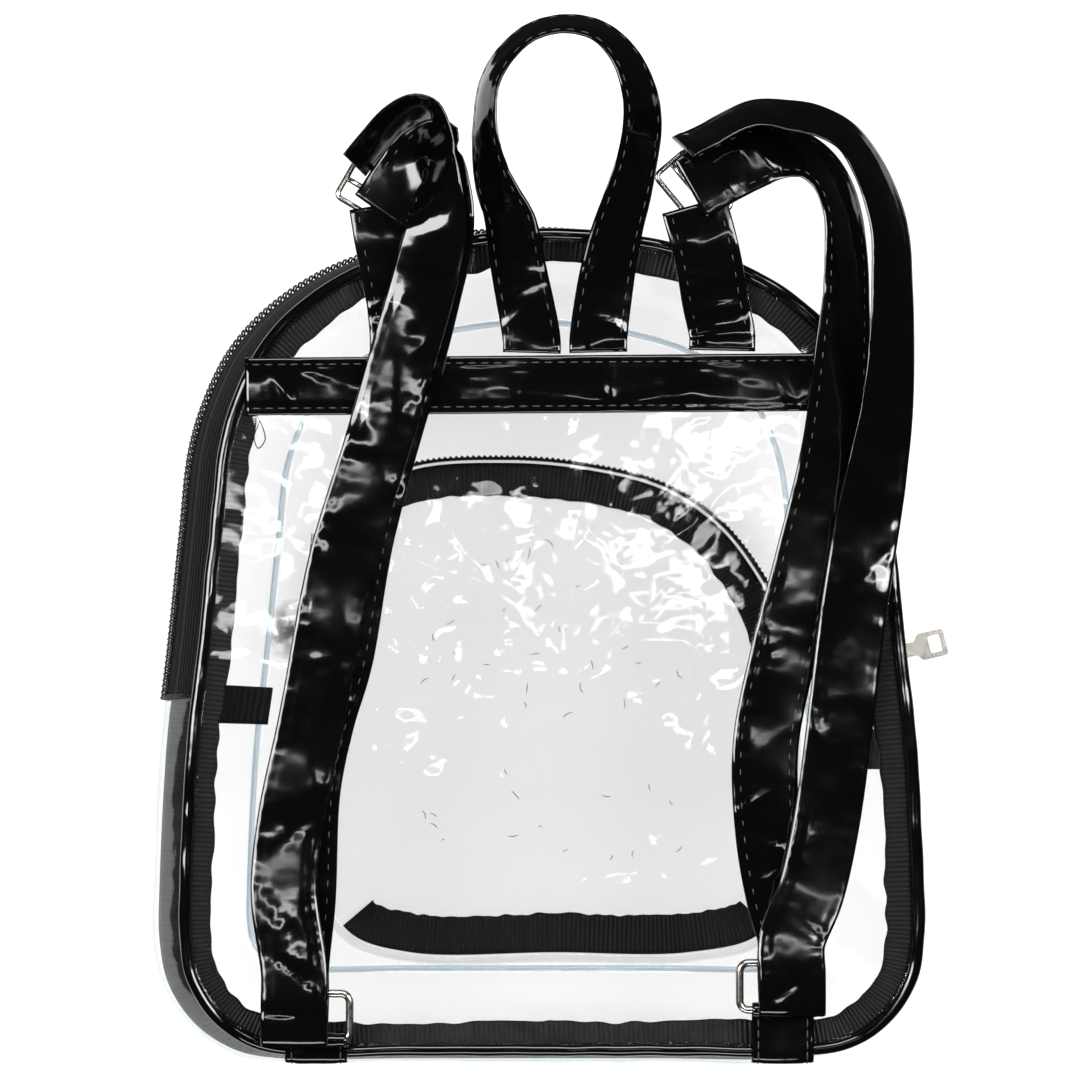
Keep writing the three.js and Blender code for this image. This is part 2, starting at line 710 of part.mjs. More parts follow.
const rightUpper = [
  { across: 0.344, up: 1.181, lift: 0.92, bearing: -65, tilt: 62 },
  { across: 0.407, up: 1.209, lift: 0.87, bearing: -65, tilt: 64 },
  { across: 0.49, up: 1.25, lift: 0.8, bearing: -68, tilt: 64 },
  { across: 0.55, up: 1.266, lift: 0.75, bearing: -82, tilt: 60 },
  { across: 0.634, up: 1.26, lift: 0.71, bearing: -95, tilt: 56 },
  { across: 0.7, up: 1.249, lift: 0.7, bearing: -102, tilt: 55 },
  { across: 0.78, up: 1.21, lift: 0.72, bearing: -120, tilt: 56 },
  { across: 0.833, up: 1.145, lift: 0.72, bearing: -140, tilt: 54 },
  { across: 0.873, up: 1.061, lift: 0.72, bearing: -155, tilt: 51 },
  { across: 0.896, up: 0.977, lift: 0.7, bearing: -170, tilt: 49 },
  { across: 0.902, up: 0.85, lift: 0.67, bearing: -178, tilt: 46 },
  { across: 0.902, up: 0.705, lift: 0.64, bearing: -183, tilt: 42 },
  { across: 0.891, up: 0.56, lift: 0.57, bearing: -188, tilt: 34 },
  { across: 0.862, up: 0.391, lift: 0.46, bearing: -190, tilt: 18 },
  { across: 0.832, up: 0.234, lift: 0.35, bearing: -191, tilt: 4 },
  { across: 0.8, up: 0.041, lift: 0.3, bearing: -190, tilt: 0 },
  { across: 0.768, up: -0.2, lift: 0.28, bearing: -188, tilt: 0 },
  { across: 0.733, up: -0.43, lift: 0.3, bearing: -187, tilt: 0 },
  { across: 0.69, up: -0.6, lift: 0.4, bearing: -186, tilt: 0 },
];

// Places along the anchor strips, above their straight foot, in the same shares
const leftAnchor = [
  { across: -0.408, up: 0.82, lift: 0.14, bearing: 0, tilt: 0 },
  { across: -0.424, up: 0.9, lift: 0.28, bearing: 0, tilt: 0 },
  { across: -0.438, up: 0.965, lift: 0.4, bearing: 0, tilt: 0 },
  { across: -0.453, up: 1.05, lift: 0.4, bearing: 0, tilt: 0 },
];
const rightAnchor = [
  { across: 0.437, up: 0.82, lift: 0.14, bearing: 0, tilt: 0 },
  { across: 0.421, up: 0.9, lift: 0.3, bearing: 0, tilt: 0 },
  { across: 0.404, up: 0.965, lift: 0.39, bearing: 0, tilt: 0 },
  { across: 0.378, up: 1.05, lift: 0.4, bearing: 0, tilt: 0 },
];

function strapRow(row) {
  return {
    x: (row.across * panelWidth) / 2,
    y: (row.up * panelHeight) / 2,
    z: backFace + row.lift * strapLift,
    bearing: row.bearing,
    tilt: row.tilt,
  };
}

// Where the strap climbs through the ring, folds over the lower bar and turns back
function ringRows(centreX, ringY) {
  const barReach = ringHeight / 2 - wireRadius;
  const loopTop = wireRadius + gap + tabThickness + gap + patentThickness / 2;
  const fold = patentThickness * foldShare;
  const route = [
    { y: ringY + 2 * barReach, z: underLayer },
    { y: ringY + barReach + 1, z: underLayer },
    { y: ringY + barReach * 0.6, z: underLayer + 0.6 },
    { y: ringY, z: ringLevel - 0.5 },
    { y: ringY - barReach * 0.6, z: ringLevel + loopTop * 0.75 },
    { y: ringY - barReach * 0.92, z: ringLevel + loopTop },
    { y: ringY - barReach - fold, z: ringLevel + loopTop + fold },
    { y: ringY - barReach * 0.92, z: ringLevel + loopTop + 2 * fold },
    { y: ringY - barReach * 0.4, z: ringLevel + loopTop + 2.1 * fold },
    { y: ringY + barReach * 0.6, z: ringLevel + loopTop + 1.9 * fold },
    { y: ringY + 2 * barReach, z: ringLevel + loopTop + fold },
  ];
  return route.map((row) => ({ x: centreX, bearing: -180, tilt: 0, ...row }));
}

// Slides, rings and feet stand at shares of the half width and half height of the back panel,
// and the rings at a distance from its bottom edge
const sideRowsOfStraps = [
  {
    name: "left",
    slide: { across: -0.4667, up: 1.0733, bearing: -30 },
    ring: { across: -0.648, fromEdge: 14.9 },
    strapShift: -0.6,
    tabShift: 0,
    anchor: leftAnchor,
    lower: leftLower,
    upper: leftUpper,
    foot: -0.4,
  },
  {
    name: "right",
    slide: { across: 0.3785, up: 1.0867, bearing: -50 },
    ring: { across: 0.609, fromEdge: 26 },
    strapShift: 0.6,
    tabShift: 0.2,
    anchor: rightAnchor,
    lower: rightLower,
    upper: rightUpper,
    foot: 0.4556,
  },
];
const sides = sideRowsOfStraps.map((side) => {
  const { across, up, bearing } = side.slide;
  const ringX = (side.ring.across * panelWidth) / 2;
  return {
    ...side,
    slide: { x: (across * panelWidth) / 2, y: (up * panelHeight) / 2, bearing },
    ring: { x: ringX, y: -panelHeight / 2 + side.ring.fromEdge },
    strapX: ringX + side.strapShift,
    footX: (side.foot * panelWidth) / 2,
  };
});

function makeStrap(side) {
  const rows = [
    ...side.lower.map(strapRow),
    ...ringRows(side.strapX, side.ring.y),
    ...side.upper.map(strapRow).reverse(),
  ];
  const geometry = strip(rows, strapWidth, patentThickness, stepsPerRow);
  addPart(`strap_${side.name}`, geometry, "patent");
}

// A short strip from under the band up and over the slide
function makeAnchor(side) {
  const x = side.footX;
  const y = sewnEdge(x) + gap;
  const foot = { x, z: sewnLevel, bearing: 0, tilt: 0 };
  const rows = [{ ...foot, y }, { ...foot, y: y + anchorStraight }, ...side.anchor.map(strapRow)];
  addPart(`anchor_${side.name}`, strip(rows, strapWidth, patentThickness, stepsPerRow), "patent");
}

function makeSlide(side) {
  const frame = roundedBar(slideLength, slideHeight, slideCorner);
  const windowWidth = (slideHeight - 3 * slideBar) / 2;
  const windowLength = slideLength - 2 * slideBar;
  for (const row of [-1, 1]) {
    const window = roundedBar(windowLength, windowWidth, slideWindowCorner).getPoints(2);
    const rise = (row * (windowWidth + slideBar)) / 2;
    frame.holes.push(
      new THREE.Path(window.map((point) => new THREE.Vector2(point.x, point.y + rise))),
    );
  }
  const geometry = new THREE.ExtrudeGeometry(frame, {
    depth: slideThickness,
    bevelEnabled: false,
    curveSegments: 4,
  });
  geometry.translate(0, 0, -slideThickness / 2);
  geometry.rotateZ(radians(side.slide.bearing));
  geometry.translate(side.slide.x, side.slide.y, slideLevel);
  addPart(`slide_${side.name}`, geometry, "nickel");
}

// A wire ring that lies flat, its sections square to the wire
function makeRing(side) {
  const width = ringWidth - 2 * wireRadius;
  const height = ringHeight - 2 * wireRadius;
  const points = roundedBar(width, height, ringCorner).getSpacedPoints(ringSteps).slice(0, ringSteps);
  const loops = points.map((point, i) => {
    const before = points[(i + ringSteps - 1) % ringSteps];
    const after = points[(i + 1) % ringSteps];
    const out = new THREE.Vector2(after.y - before.y, before.x - after.x).normalize();
    return Array.from({ length: tubeSides }, (unused, j) => {
      const turn = (2 * Math.PI * (j + 0.5)) / tubeSides;
      const reach = wireRadius * Math.cos(turn);
      return new THREE.Vector3(
        side.ring.x + point.x + out.x * reach,
        side.ring.y + point.y + out.y * reach,
        ringLevel + wireRadius * Math.sin(turn),
      );
    });
  });
  addPart(`ring_${side.name}`, loft(loops, true), "nickel");
}

// The folded strip that holds the ring to the bottom seam, drawn in its side view
function makeRingTab(side) {
  const barY = side.ring.y - (ringHeight / 2 - wireRadius);
  const level = ringLevel - wireRadius - gap - tabThickness / 2;
  const seamY = -panelHeight / 2 - 2.5 * gap - tabThickness / 2;
  const line = [
    new THREE.Vector2(barY, level + tabThickness / 2),
    new THREE.Vector2(seamY + tabThickness / 2, level + tabThickness / 2),
    new THREE.Vector2(seamY - tabThickness / 2, level - tabThickness / 2),
    new THREE.Vector2(seamY - tabThickness / 2, backPlane - tabTail),
    new THREE.Vector2(seamY + tabThickness / 2, backPlane - tabTail),
    new THREE.Vector2(seamY + tabThickness / 2, level - tabThickness),
    new THREE.Vector2(seamY + tabThickness, level - tabThickness / 2),
    new THREE.Vector2(barY, level - tabThickness / 2),
  ];
  const tail = new THREE.ExtrudeGeometry(new THREE.Shape(line), {
    depth: tabWidth,
    bevelEnabled: false,
  });
  // The side view is drawn in Y and Z: turned so that its depth runs along X
  tail.applyMatrix4(new THREE.Matrix4().makeBasis(
    new THREE.Vector3(0, 1, 0),
    new THREE.Vector3(0, 0, 1),
    new THREE.Vector3(1, 0, 0),
  ));
  tail.translate(side.ring.x + side.tabShift - tabWidth / 2, 0, 0);
  const round = (radius, length) => {
    const cylinder = new THREE.CylinderGeometry(radius, radius, length, 20);
    cylinder.rotateZ(Math.PI / 2);
    cylinder.translate(side.ring.x + side.tabShift, barY, ringLevel);
    return toManifold(cylinder);
  };
  const solid = toManifold(tail)
    .add(round(wireRadius + gap + tabThickness, tabWidth))
    .subtract(round(wireRadius + gap, tabWidth + 2));
  addPart(`ring_tab_${side.name}`, fromManifold(solid), "patent");
}

// Outline of the pocket, as shares of half its width and half its height
const pocketRows = [
  { across: 0, up: -1 },
  { across: 0.55, up: -1 },
  { across: 0.85, up: -0.93 },
  { across: 0.98, up: -0.75 },
  { across: 1, up: -0.4 },
  { across: 1, up: 0.1 },
  { across: 0.95, up: 0.35 },
  { across: 0.84, up: 0.56 },
  { across: 0.68, up: 0.75 },
  { across: 0.46, up: 0.89 },
  { across: 0.15, up: 0.97 },
  { across: -0.2, up: 1 },
  { across: -0.6, up: 0.97 },
  { across: -0.83, up: 0.85 },
  { across: -0.95, up: 0.62 },
  { across: -0.99, up: 0.3 },
  { across: -1, up: -0.2 },
  { across: -0.98, up: -0.72 },
  { across: -0.86, up: -0.92 },
  { across: -0.6, up: -1 },
];
const pocketOutline = makeOutline(
  pocketRows.map(
    (row) =>
      new THREE.Vector3(
        pocketPlaceX + (row.across * pocketWidth) / 2,
        pocketPlaceY + (row.up * pocketHeight) / 2,
        0,
      ),
  ),
);

function pocketPlace(t, out, level) {
  const point = pocketOutline.at(t).addScaledVector(pocketOutline.normal(t), out);
  point.z = level;
  return point;
}

function rectangle(x0, x1, y0, y1) {
  return [
    new THREE.Vector2(x0, y0),
    new THREE.Vector2(x1, y0),
    new THREE.Vector2(x1, y1),
    new THREE.Vector2(x0, y1),
  ];
}

function makePocket() {
  const edge = [];
  for (let i = 0; i < pocketSteps; i += 1) {
    edge.push(pocketPlace(i / pocketSteps, 0, 0));
  }
  addPart("pocket_panel", plate(edge, 0, filmThickness), "film");

  const right = shareAtLevel(pocketOutline, pocketZipEndRight, 1);
  const left = shareAtLevel(pocketOutline, pocketZipEndLeft, -1);
  const seam = gap / pocketOutline.length;
  const foot = filmThickness + gap;
  const head = frontPlane - gap;
  const middle = (foot + head) / 2;
  const half = pocketTeethRadius;
  const walls = [
    { name: "pocket_wall", low: foot, high: head, from: left + seam - 1, to: right - seam },
    { name: "pocket_tape_front", low: foot, high: middle - half - gap, from: right, to: left },
    { name: "pocket_tape_back", low: middle + half + gap, high: head, from: right, to: left },
  ];
  for (const wall of walls) {
    const section = rectangle(-filmThickness, 0, wall.low, wall.high);
    const finish = wall.name === "pocket_wall" ? "film" : "zip";
    addPart(wall.name, around(pocketPlace, section, wall.from, wall.to, pocketSteps), finish);
  }
  const teeth = circleSection(-filmThickness / 2, middle, half, half);
  addPart("pocket_teeth", around(pocketPlace, teeth, right, left, pocketSteps), "zip");

  const inner = -filmThickness - 3 * gap;
  const ribbons = [
    { name: "pocket_ribbon", width: pocketRibbonWidth, from: right, to: left },
    { name: "pocket_hem", width: pocketBottomRibbon, from: -pocketHemShare, to: pocketHemShare },
  ];
  for (const ribbon of ribbons) {
    const section = rectangle(inner - ribbon.width, inner, foot, foot + ribbonThickness);
    const geometry = around(pocketPlace, section, ribbon.from, ribbon.to, pocketSteps);
    addPart(ribbon.name, geometry, "ribbon");
  }

  // The pocket's slider is hidden, so it is one plain piece with its pull
  const share = left - pocketSliderShare;
  const facing = pocketOutline.normal(share);
  const block = ({ thickness, length, width }) => new THREE.BoxGeometry(thickness, length, width);
  const body = block(pocketSliderBody);
  const pull = block(pocketSliderPull);
  const bodyFoot = half + gap;
  body.translate(bodyFoot + pocketSliderBody.thickness / 2, 0, 0);
  pull.translate(bodyFoot + pocketSliderBody.thickness + gap, -pocketSliderPull.length / 2 - 1, 0);
  const geometry = fromManifold(toManifold(body).add(toManifold(pull)));
  geometry.rotateZ(Math.atan2(facing.y, facing.x));
  const seat = pocketPlace(share, -filmThickness / 2, middle);
  geometry.translate(seat.x, seat.y, seat.z);
  addPart("pocket_slider", geometry, "nickel");
}

makePanels();
makeWalls();
makeSeamRibbon();
makeSlider();
makePull();
makeBackBand();
makeHandle();
for (const side of sides) {
  makeAnchor(side);
  makeSlide(side);
  makeStrap(side);
  makeRing(side);
  makeRingTab(side);
}
makePocket();

export default bag;
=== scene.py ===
import bpy
import numpy as np
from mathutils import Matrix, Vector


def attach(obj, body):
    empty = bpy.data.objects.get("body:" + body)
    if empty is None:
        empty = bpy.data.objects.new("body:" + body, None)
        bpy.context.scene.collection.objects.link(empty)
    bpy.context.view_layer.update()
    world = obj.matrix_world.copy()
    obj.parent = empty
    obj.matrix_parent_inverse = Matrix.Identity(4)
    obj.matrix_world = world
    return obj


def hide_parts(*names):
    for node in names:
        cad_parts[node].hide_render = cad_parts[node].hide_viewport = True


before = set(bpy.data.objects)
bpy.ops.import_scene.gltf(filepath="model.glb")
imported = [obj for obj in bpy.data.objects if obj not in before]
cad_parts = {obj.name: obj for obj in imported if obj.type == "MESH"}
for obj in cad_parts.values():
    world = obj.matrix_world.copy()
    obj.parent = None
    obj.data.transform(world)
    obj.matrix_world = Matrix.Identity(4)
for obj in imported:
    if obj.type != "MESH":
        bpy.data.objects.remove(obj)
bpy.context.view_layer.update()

# Sizes that the pieces share with the CAD model
PANEL_HEIGHT = 300
PANEL_WIDTH = 270
BOTTOM_CORNER = 42
BAG_DEPTH = 78
FRONT_PLANE = 18
BACK_PLANE = 96
BACK_FACE = 96.5
FRONT_INSET = 27
GUSSET_BULGE = 9
WALL_CURVE = 2.4
GUSSET_LEAN = (-7.5, -1.5)
FRONT_LEAN = (-6.5, -3.6)
PIPING_RADIUS = 2.3
WELT_RADIUS = 1.1
WIDE_BINDING_SHARE = 0.155
FILM = 0.5
ZIP_DROP = 27.0
COIL_PITCH = 2.2
TAPE_TOP = 16.4
TAPE_FOOT = 38.1
PATENT = 1.6
BAND_LEVEL = 93.3
BAND_WIDTH = 21
BAND_RISE = 1.1
HANDLE_WIDTH = 21
HANDLE_REACH = 116
HANDLE_SPREAD = 28
HANDLE_LIFT = 28
HANDLE_X = 4.7
STRAP_WIDTH = 24
STRAP_LIFT = 20
RING_LEVEL = 101.6
SLIDE_LEVEL = 102.1
STITCH_PITCH = 5.9

BAG = "bag"


# Colour and materials

def linear(code):
    """A colour written as sRGB hex, in linear light."""
    shares = [int(code[i:i + 2], 16) / 255 for i in (1, 3, 5)]
    return tuple(s / 12.92 if s <= 0.04045 else ((s + 0.055) / 1.055) ** 2.4 for s in shares) + (1,)


def node(tree, kind, settings=None, **links):
    """Adds one node: settings are its own, values and links go to its sockets."""
    made = tree.nodes.new(kind)
    for key, value in (settings or {}).items():
        setattr(made, key, value)
    for key, value in links.items():
        place = int(key[1:]) if key[0] == "i" and key[1:].isdigit() else key.replace("_", " ")
        socket = made.inputs[place]
        if isinstance(value, bpy.types.NodeSocket):
            tree.links.new(value, socket)
        else:
            socket.default_value = value
    return made


def new_material(name):
    material = bpy.data.materials.new(name)
    material.use_nodes = True
    tree = material.node_tree
    tree.nodes.clear()
    return material, tree


def show(tree, shader):
    node(tree, "ShaderNodeOutputMaterial", Surface=shader)


def per_metre(size_mm):
    """The scale of a pattern that repeats at a size in millimetres."""
    return 1000 / size_mm


def noise(tree, where, size_mm, detail=2, roughness=0.5, distortion=0.0):
    return node(tree, "ShaderNodeTexNoise", Vector=where, Scale=per_metre(size_mm), Detail=detail,
                Roughness=roughness, Distortion=distortion).outputs["Fac"]


def ramp(tree, value, low, high, to_low, to_high):
    return node(tree, "ShaderNodeMapRange", i0=value, i1=low, i2=high, i3=to_low, i4=to_high).outputs[0]


def bump(tree, height, depth_mm, strength=1.0, below=None):
    extra = {"Normal": below} if below is not None else {}
    return node(tree, "ShaderNodeBump", Height=height, Distance=depth_mm / 1000, Strength=strength,
                **extra).outputs["Normal"]


def patent_vinyl():
    # Black PVC skin, calendered on cloth: mirror bright, with slow liquid swells and a few dulled patches
    material, tree = new_material("patent_pvc_calendered")
    where = node(tree, "ShaderNodeTexCoord").outputs["Object"]
    swell = noise(tree, where, 30, detail=1, roughness=0.4, distortion=0.5)
    peel = noise(tree, where, 7, detail=1, roughness=0.4)
    normal = bump(tree, peel, 0.1, below=bump(tree, swell, 1.7))
    rubbed = noise(tree, where, 26, detail=3, roughness=0.6)
    gloss = ramp(tree, rubbed, 0.42, 0.7, 0.06, 0.16)
    shader = node(tree, "ShaderNodeBsdfPrincipled", Base_Color=linear("#020202"), IOR=1.38,
                  Roughness=gloss, Normal=normal)
    show(tree, shader.outputs[0])
    return material


def clear_vinyl(name, tint, edge_tint, haze=0.02, grey_patches=()):
    # Clear plasticised PVC film, pressed flat: bright glints at creases, bluish where it is seen edge on
    material, tree = new_material(name)
    where = node(tree, "ShaderNodeTexCoord").outputs["Object"]
    sag = noise(tree, where, 46, detail=2, roughness=0.45)
    pucker = noise(tree, where, 13, detail=1, distortion=0.6)
    soft = bump(tree, sag, 1.3)
    normal = bump(tree, pucker, 0.3, below=soft)
    facing = node(tree, "ShaderNodeLayerWeight", Blend=0.35, Normal=normal).outputs["Facing"]
    steep = node(tree, "ShaderNodeMath", {"operation": "POWER"}, i0=facing, i1=3.4).outputs[0]
    passed = node(tree, "ShaderNodeMix", {"data_type": "RGBA"}, i0=steep, i6=linear(tint),
                  i7=linear(edge_tint)).outputs[2]
    for spot, reach_mm, shade in grey_patches:
        # a grey patch mixed into the colour let through, patchy and soft at its edge
        off = node(tree, "ShaderNodeVectorMath", {"operation": "DISTANCE"}, i0=where,
                   i1=tuple(v / 1000 for v in spot)).outputs["Value"]
        near = ramp(tree, off, 0, reach_mm / 1000, 1.0, 0.0)
        patchy = ramp(tree, noise(tree, where, 5, detail=4), 0.38, 0.6, 0.25, 1.0)
        share = node(tree, "ShaderNodeMath", {"operation": "MULTIPLY"}, i0=near, i1=patchy).outputs[0]
        passed = node(tree, "ShaderNodeMix", {"data_type": "RGBA"}, i0=share, i6=passed,
                      i7=linear(shade)).outputs[2]
    through = node(tree, "ShaderNodeBsdfTransparent", Color=passed)
    shine = node(tree, "ShaderNodeBsdfPrincipled", Base_Color=linear("#ffffff"), Metallic=1.0,
                 Roughness=haze + 0.03, Normal=normal)
    fresnel = node(tree, "ShaderNodeFresnel", IOR=1.45, Normal=normal).outputs[0]
    mirrored = ramp(tree, fresnel, 0.034, 0.5, 0.016, 0.08)
    mixed = node(tree, "ShaderNodeMixShader", i0=mirrored, i1=through.outputs[0], i2=shine.outputs[0])
    show(tree, mixed.outputs[0])
    return material


def ribbed_binding():
    # Polypropylene binding, woven with ribs across it: dull black, with a painted highlight as a pale line on
    # each rib
    material, tree = new_material("polypropylene_ribbed_binding")
    along = node(tree, "ShaderNodeUVMap").outputs["UV"]
    ribs = node(tree, "ShaderNodeTexWave", {"bands_direction": "X", "wave_profile": "SIN"}, Vector=along,
                Scale=per_metre(0.9) / 20 * 3.1416, Distortion=0.6, Detail=1.0, Detail_Scale=1.0)
    wear = noise(tree, along, 7, detail=3)
    # the paler colour on each rib crest is a painted highlight
    shade = node(tree, "ShaderNodeMix", {"data_type": "RGBA"}, i0=ribs.outputs["Fac"],
                 i6=linear("#010101"), i7=linear("#0a0a0b")).outputs[2]
    normal = bump(tree, ribs.outputs["Fac"], 0.25)
    shader = node(tree, "ShaderNodeBsdfPrincipled", Base_Color=shade, Normal=normal,
                  Roughness=ramp(tree, wear, 0.3, 0.7, 0.42, 0.65), Specular_IOR_Level=0.1)
    show(tree, shader.outputs[0])
    return material


def woven_tape():
    # Polyester zip tape, herringbone woven: matte black, with a faint lengthwise sheen painted as paler warp
    # stripes
    material, tree = new_material("polyester_zip_tape_woven")
    along = node(tree, "ShaderNodeUVMap").outputs["UV"]
    warp = node(tree, "ShaderNodeTexWave", {"bands_direction": "Y", "wave_profile": "SIN"}, Vector=along,
                Scale=per_metre(0.9) / 20 * 3.1416, Distortion=1.5, Detail=1.0, Detail_Scale=4.0)
    # the paler warp stripes are a painted sheen
    shade = node(tree, "ShaderNodeMix", {"data_type": "RGBA"}, i0=warp.outputs["Fac"],
                 i6=linear("#010101"), i7=linear("#060607")).outputs[2]
    shader = node(tree, "ShaderNodeBsdfPrincipled", Base_Color=shade, Roughness=0.6,
                  Specular_IOR_Level=0.05,
                  Normal=bump(tree, warp.outputs["Fac"], 0.15))
    show(tree, shader.outputs[0])
    return material


def drawn_nylon(name, shade, roughness):
    # Nylon drawn to a monofilament or thread: black, with a small bright glint on each turn
    material, tree = new_material(name)
    where = node(tree, "ShaderNodeTexCoord").outputs["Object"]
    grain = noise(tree, where, 1.2, detail=2)
    shader = node(tree, "ShaderNodeBsdfPrincipled", Base_Color=linear(shade), IOR=1.53,
                  Roughness=ramp(tree, grain, 0.3, 0.7, roughness * 0.8, roughness * 1.2),
                  Normal=bump(tree, grain, 0.05))
    show(tree, shader.outputs[0])
    return material


def nickel_plate():
    # Die cast zinc, tumbled and nickel plated: warm bright grey with soft handling marks
    material, tree = new_material("zinc_nickel_plated")
    where = node(tree, "ShaderNodeTexCoord").outputs["Object"]
    cast = noise(tree, where, 4, detail=3)
    scuff = noise(tree, where, 0.8, detail=2)
    shade = node(tree, "ShaderNodeMix", {"data_type": "RGBA"}, i0=cast, i6=linear("#7f7c77"),
                 i7=linear("#9b9892")).outputs[2]
    shader = node(tree, "ShaderNodeBsdfPrincipled", Base_Color=shade, Metallic=1.0,
                  Roughness=ramp(tree, scuff, 0.3, 0.7, 0.16, 0.26), Normal=bump(tree, cast, 0.015))
    show(tree, shader.outputs[0])
    return material


def painted_floor():
    # Pale painted board, lit from within the paint so that it reads as a white sweep
    material, tree = new_material("board_painted_white")
    shader = node(tree, "ShaderNodeBsdfPrincipled", Base_Color=linear("#6e6e6e"), Roughness=0.9,
                  Emission_Color=linear("#ffffff"), Emission_Strength=0.86)
    show(tree, shader.outputs[0])
    return material


PATENT_VINYL = patent_vinyl()
CLEAR_VINYL = clear_vinyl("pvc_film_pressed", "#fafafa", "#e2e9ec")
GREY_PATCH_VINYL = clear_vinyl("pvc_film_grey_patch", "#fafafa", "#e2e9ec",
                            grey_patches=(((-99, 2, 19), 13, "#74746e"),))
RIM_VINYL = clear_vinyl("pvc_film_folded_edge", "#dde4e8", "#71899a", haze=0.08)
BINDING = ribbed_binding()
TAPE = woven_tape()
COIL = drawn_nylon("nylon_coil_drawn", "#0e0e10", 0.26)
THREAD = drawn_nylon("nylon_thread_twisted", "#0b0b0c", 0.62)
NICKEL = nickel_plate()
CRUMB = drawn_nylon("polystyrene_foam_crumb", "#f4f4f2", 0.8)


# Curves, outlines and sheets

def spline(rows, closed, per_span):
    """Points on a centripetal curve through the rows."""
    rows = np.asarray(rows, float)
    count = len(rows)
    spans = count if closed else count - 1
    shares = np.linspace(0, 1, per_span, endpoint=False)[:, None]
    points = []
    for i in range(spans):
        here, there = rows[i], rows[(i + 1) % count]
        before = rows[i - 1] if closed or i > 0 else 2 * here - there
        after = rows[(i + 2) % count] if closed or i + 2 < count else 2 * there - here
        d0, d1, d2 = (max(np.linalg.norm(b - a), 1e-4) ** 0.5
                      for a, b in ((before, here), (here, there), (there, after)))
        leave = ((here - before) / d0 - (there - before) / (d0 + d1) + (there - here) / d1) * d1
        reach = ((there - here) / d1 - (after - here) / (d1 + d2) + (after - there) / d2) * d1
        points.append(here + leave * shares + (3 * (there - here) - 2 * leave - reach) * shares ** 2
                      + (2 * (here - there) + leave + reach) * shares ** 3)
    if not closed:
        points.append(rows[-1:])
    return np.vstack(points)


def lengths(points):
    return np.concatenate([[0], np.cumsum(np.linalg.norm(np.diff(points, axis=0), axis=1))])


class Outline:
    """A closed flat outline that is read at shares of its length."""

    def __init__(self, rows):
        loop = spline(rows, True, 60)
        self.loop = np.vstack([loop, loop[:1]])
        self.run = lengths(self.loop)
        self.length = self.run[-1]

    def at(self, share):
        run = np.mod(share, 1) * self.length
        return np.stack([np.interp(run, self.run, self.loop[:, k]) for k in (0, 1)], axis=-1)

    def normal(self, share):
        step = self.at(share + 0.001) - self.at(share - 0.001)
        step /= np.linalg.norm(step, axis=-1, keepdims=True)
        return np.stack([step[..., 1], -step[..., 0]], axis=-1)

    def share_at(self, level, side):
        shares = np.linspace(0, 1, 2000, endpoint=False)
        points = self.at(shares)
        off = np.abs(points[:, 1] - level) + 1000 * (points[:, 0] * side < 0)
        return shares[np.argmin(off)]


# Half widths of the back panel, as shares of its half width, at shares of its height
SIDE_ROWS = (
    (0.2, 1.0), (0.38, 0.98), (0.5, 0.95), (0.64, 0.918), (0.74, 0.893), (0.8, 0.853), (0.86, 0.785),
    (0.912, 0.675), (0.955, 0.52), (0.985, 0.3),
)


def bag_outline():
    corner_x = PANEL_WIDTH / 2 - BOTTOM_CORNER
    corner_y = -PANEL_HEIGHT / 2 + BOTTOM_CORNER
    right = [(corner_x / 2, -PANEL_HEIGHT / 2)]
    for degrees in (0, 22, 45, 68, 90):
        turn = np.radians(degrees - 90)
        right.append((corner_x + BOTTOM_CORNER * np.cos(turn), corner_y + BOTTOM_CORNER * np.sin(turn)))
    right += [(half * PANEL_WIDTH / 2, (height - 0.5) * PANEL_HEIGHT) for height, half in SIDE_ROWS]
    left = [(-x, y) for x, y in reversed(right)]
    return Outline([(0, -PANEL_HEIGHT / 2), *right, (0, PANEL_HEIGHT / 2), *left])


# Outline of the pocket, as shares of half its width and half its height
POCKET_ROWS = (
    (0, -1), (0.55, -1), (0.85, -0.93), (0.98, -0.75), (1, -0.4), (1, 0.1), (0.95, 0.35), (0.84, 0.56),
    (0.68, 0.75), (0.46, 0.89), (0.15, 0.97), (-0.2, 1), (-0.6, 0.97), (-0.83, 0.85), (-0.95, 0.62),
    (-0.99, 0.3), (-1, -0.2), (-0.98, -0.72), (-0.86, -0.92), (-0.6, -1),
)
POCKET_SIZE = (188, 195)
POCKET_PLACE = (1.5, -28.5)

BAG_LINE = bag_outline()
POCKET_LINE = Outline([(POCKET_PLACE[0] + x * POCKET_SIZE[0] / 2, POCKET_PLACE[1] + y * POCKET_SIZE[1] / 2)
                       for x, y in POCKET_ROWS])
ZIP_RIGHT = BAG_LINE.share_at(-38, 1)
ZIP_LEFT = BAG_LINE.share_at(-20, -1)


def wall_out(drop):
    share = np.clip(drop / BAG_DEPTH, 0, None)
    bulge = GUSSET_BULGE * np.sin(np.pi * drop / BAG_DEPTH)
    return -PIPING_RADIUS + bulge - (FRONT_INSET - PIPING_RADIUS) * share ** WALL_CURVE


def place(share, out, drop):
    """A point at a share of the way round the bag, a distance out and a drop below the back plane."""
    share, out, drop = np.broadcast_arrays(np.asarray(share, float), out, drop)
    part = drop / BAG_DEPTH
    sway = np.sin(np.pi * part)
    flat = BAG_LINE.at(share) + BAG_LINE.normal(share) * out[..., None]
    flat = flat + np.stack([f * part + g * sway for f, g in zip(FRONT_LEAN, GUSSET_LEAN)], axis=-1)
    return np.concatenate([flat, (BACK_PLANE - drop)[..., None]], axis=-1)


def pocket_place(share, out, level):
    share, out, level = np.broadcast_arrays(np.asarray(share, float), out, level)
    flat = POCKET_LINE.at(share) + POCKET_LINE.normal(share) * out[..., None]
    return np.concatenate([flat, level[..., None]], axis=-1)


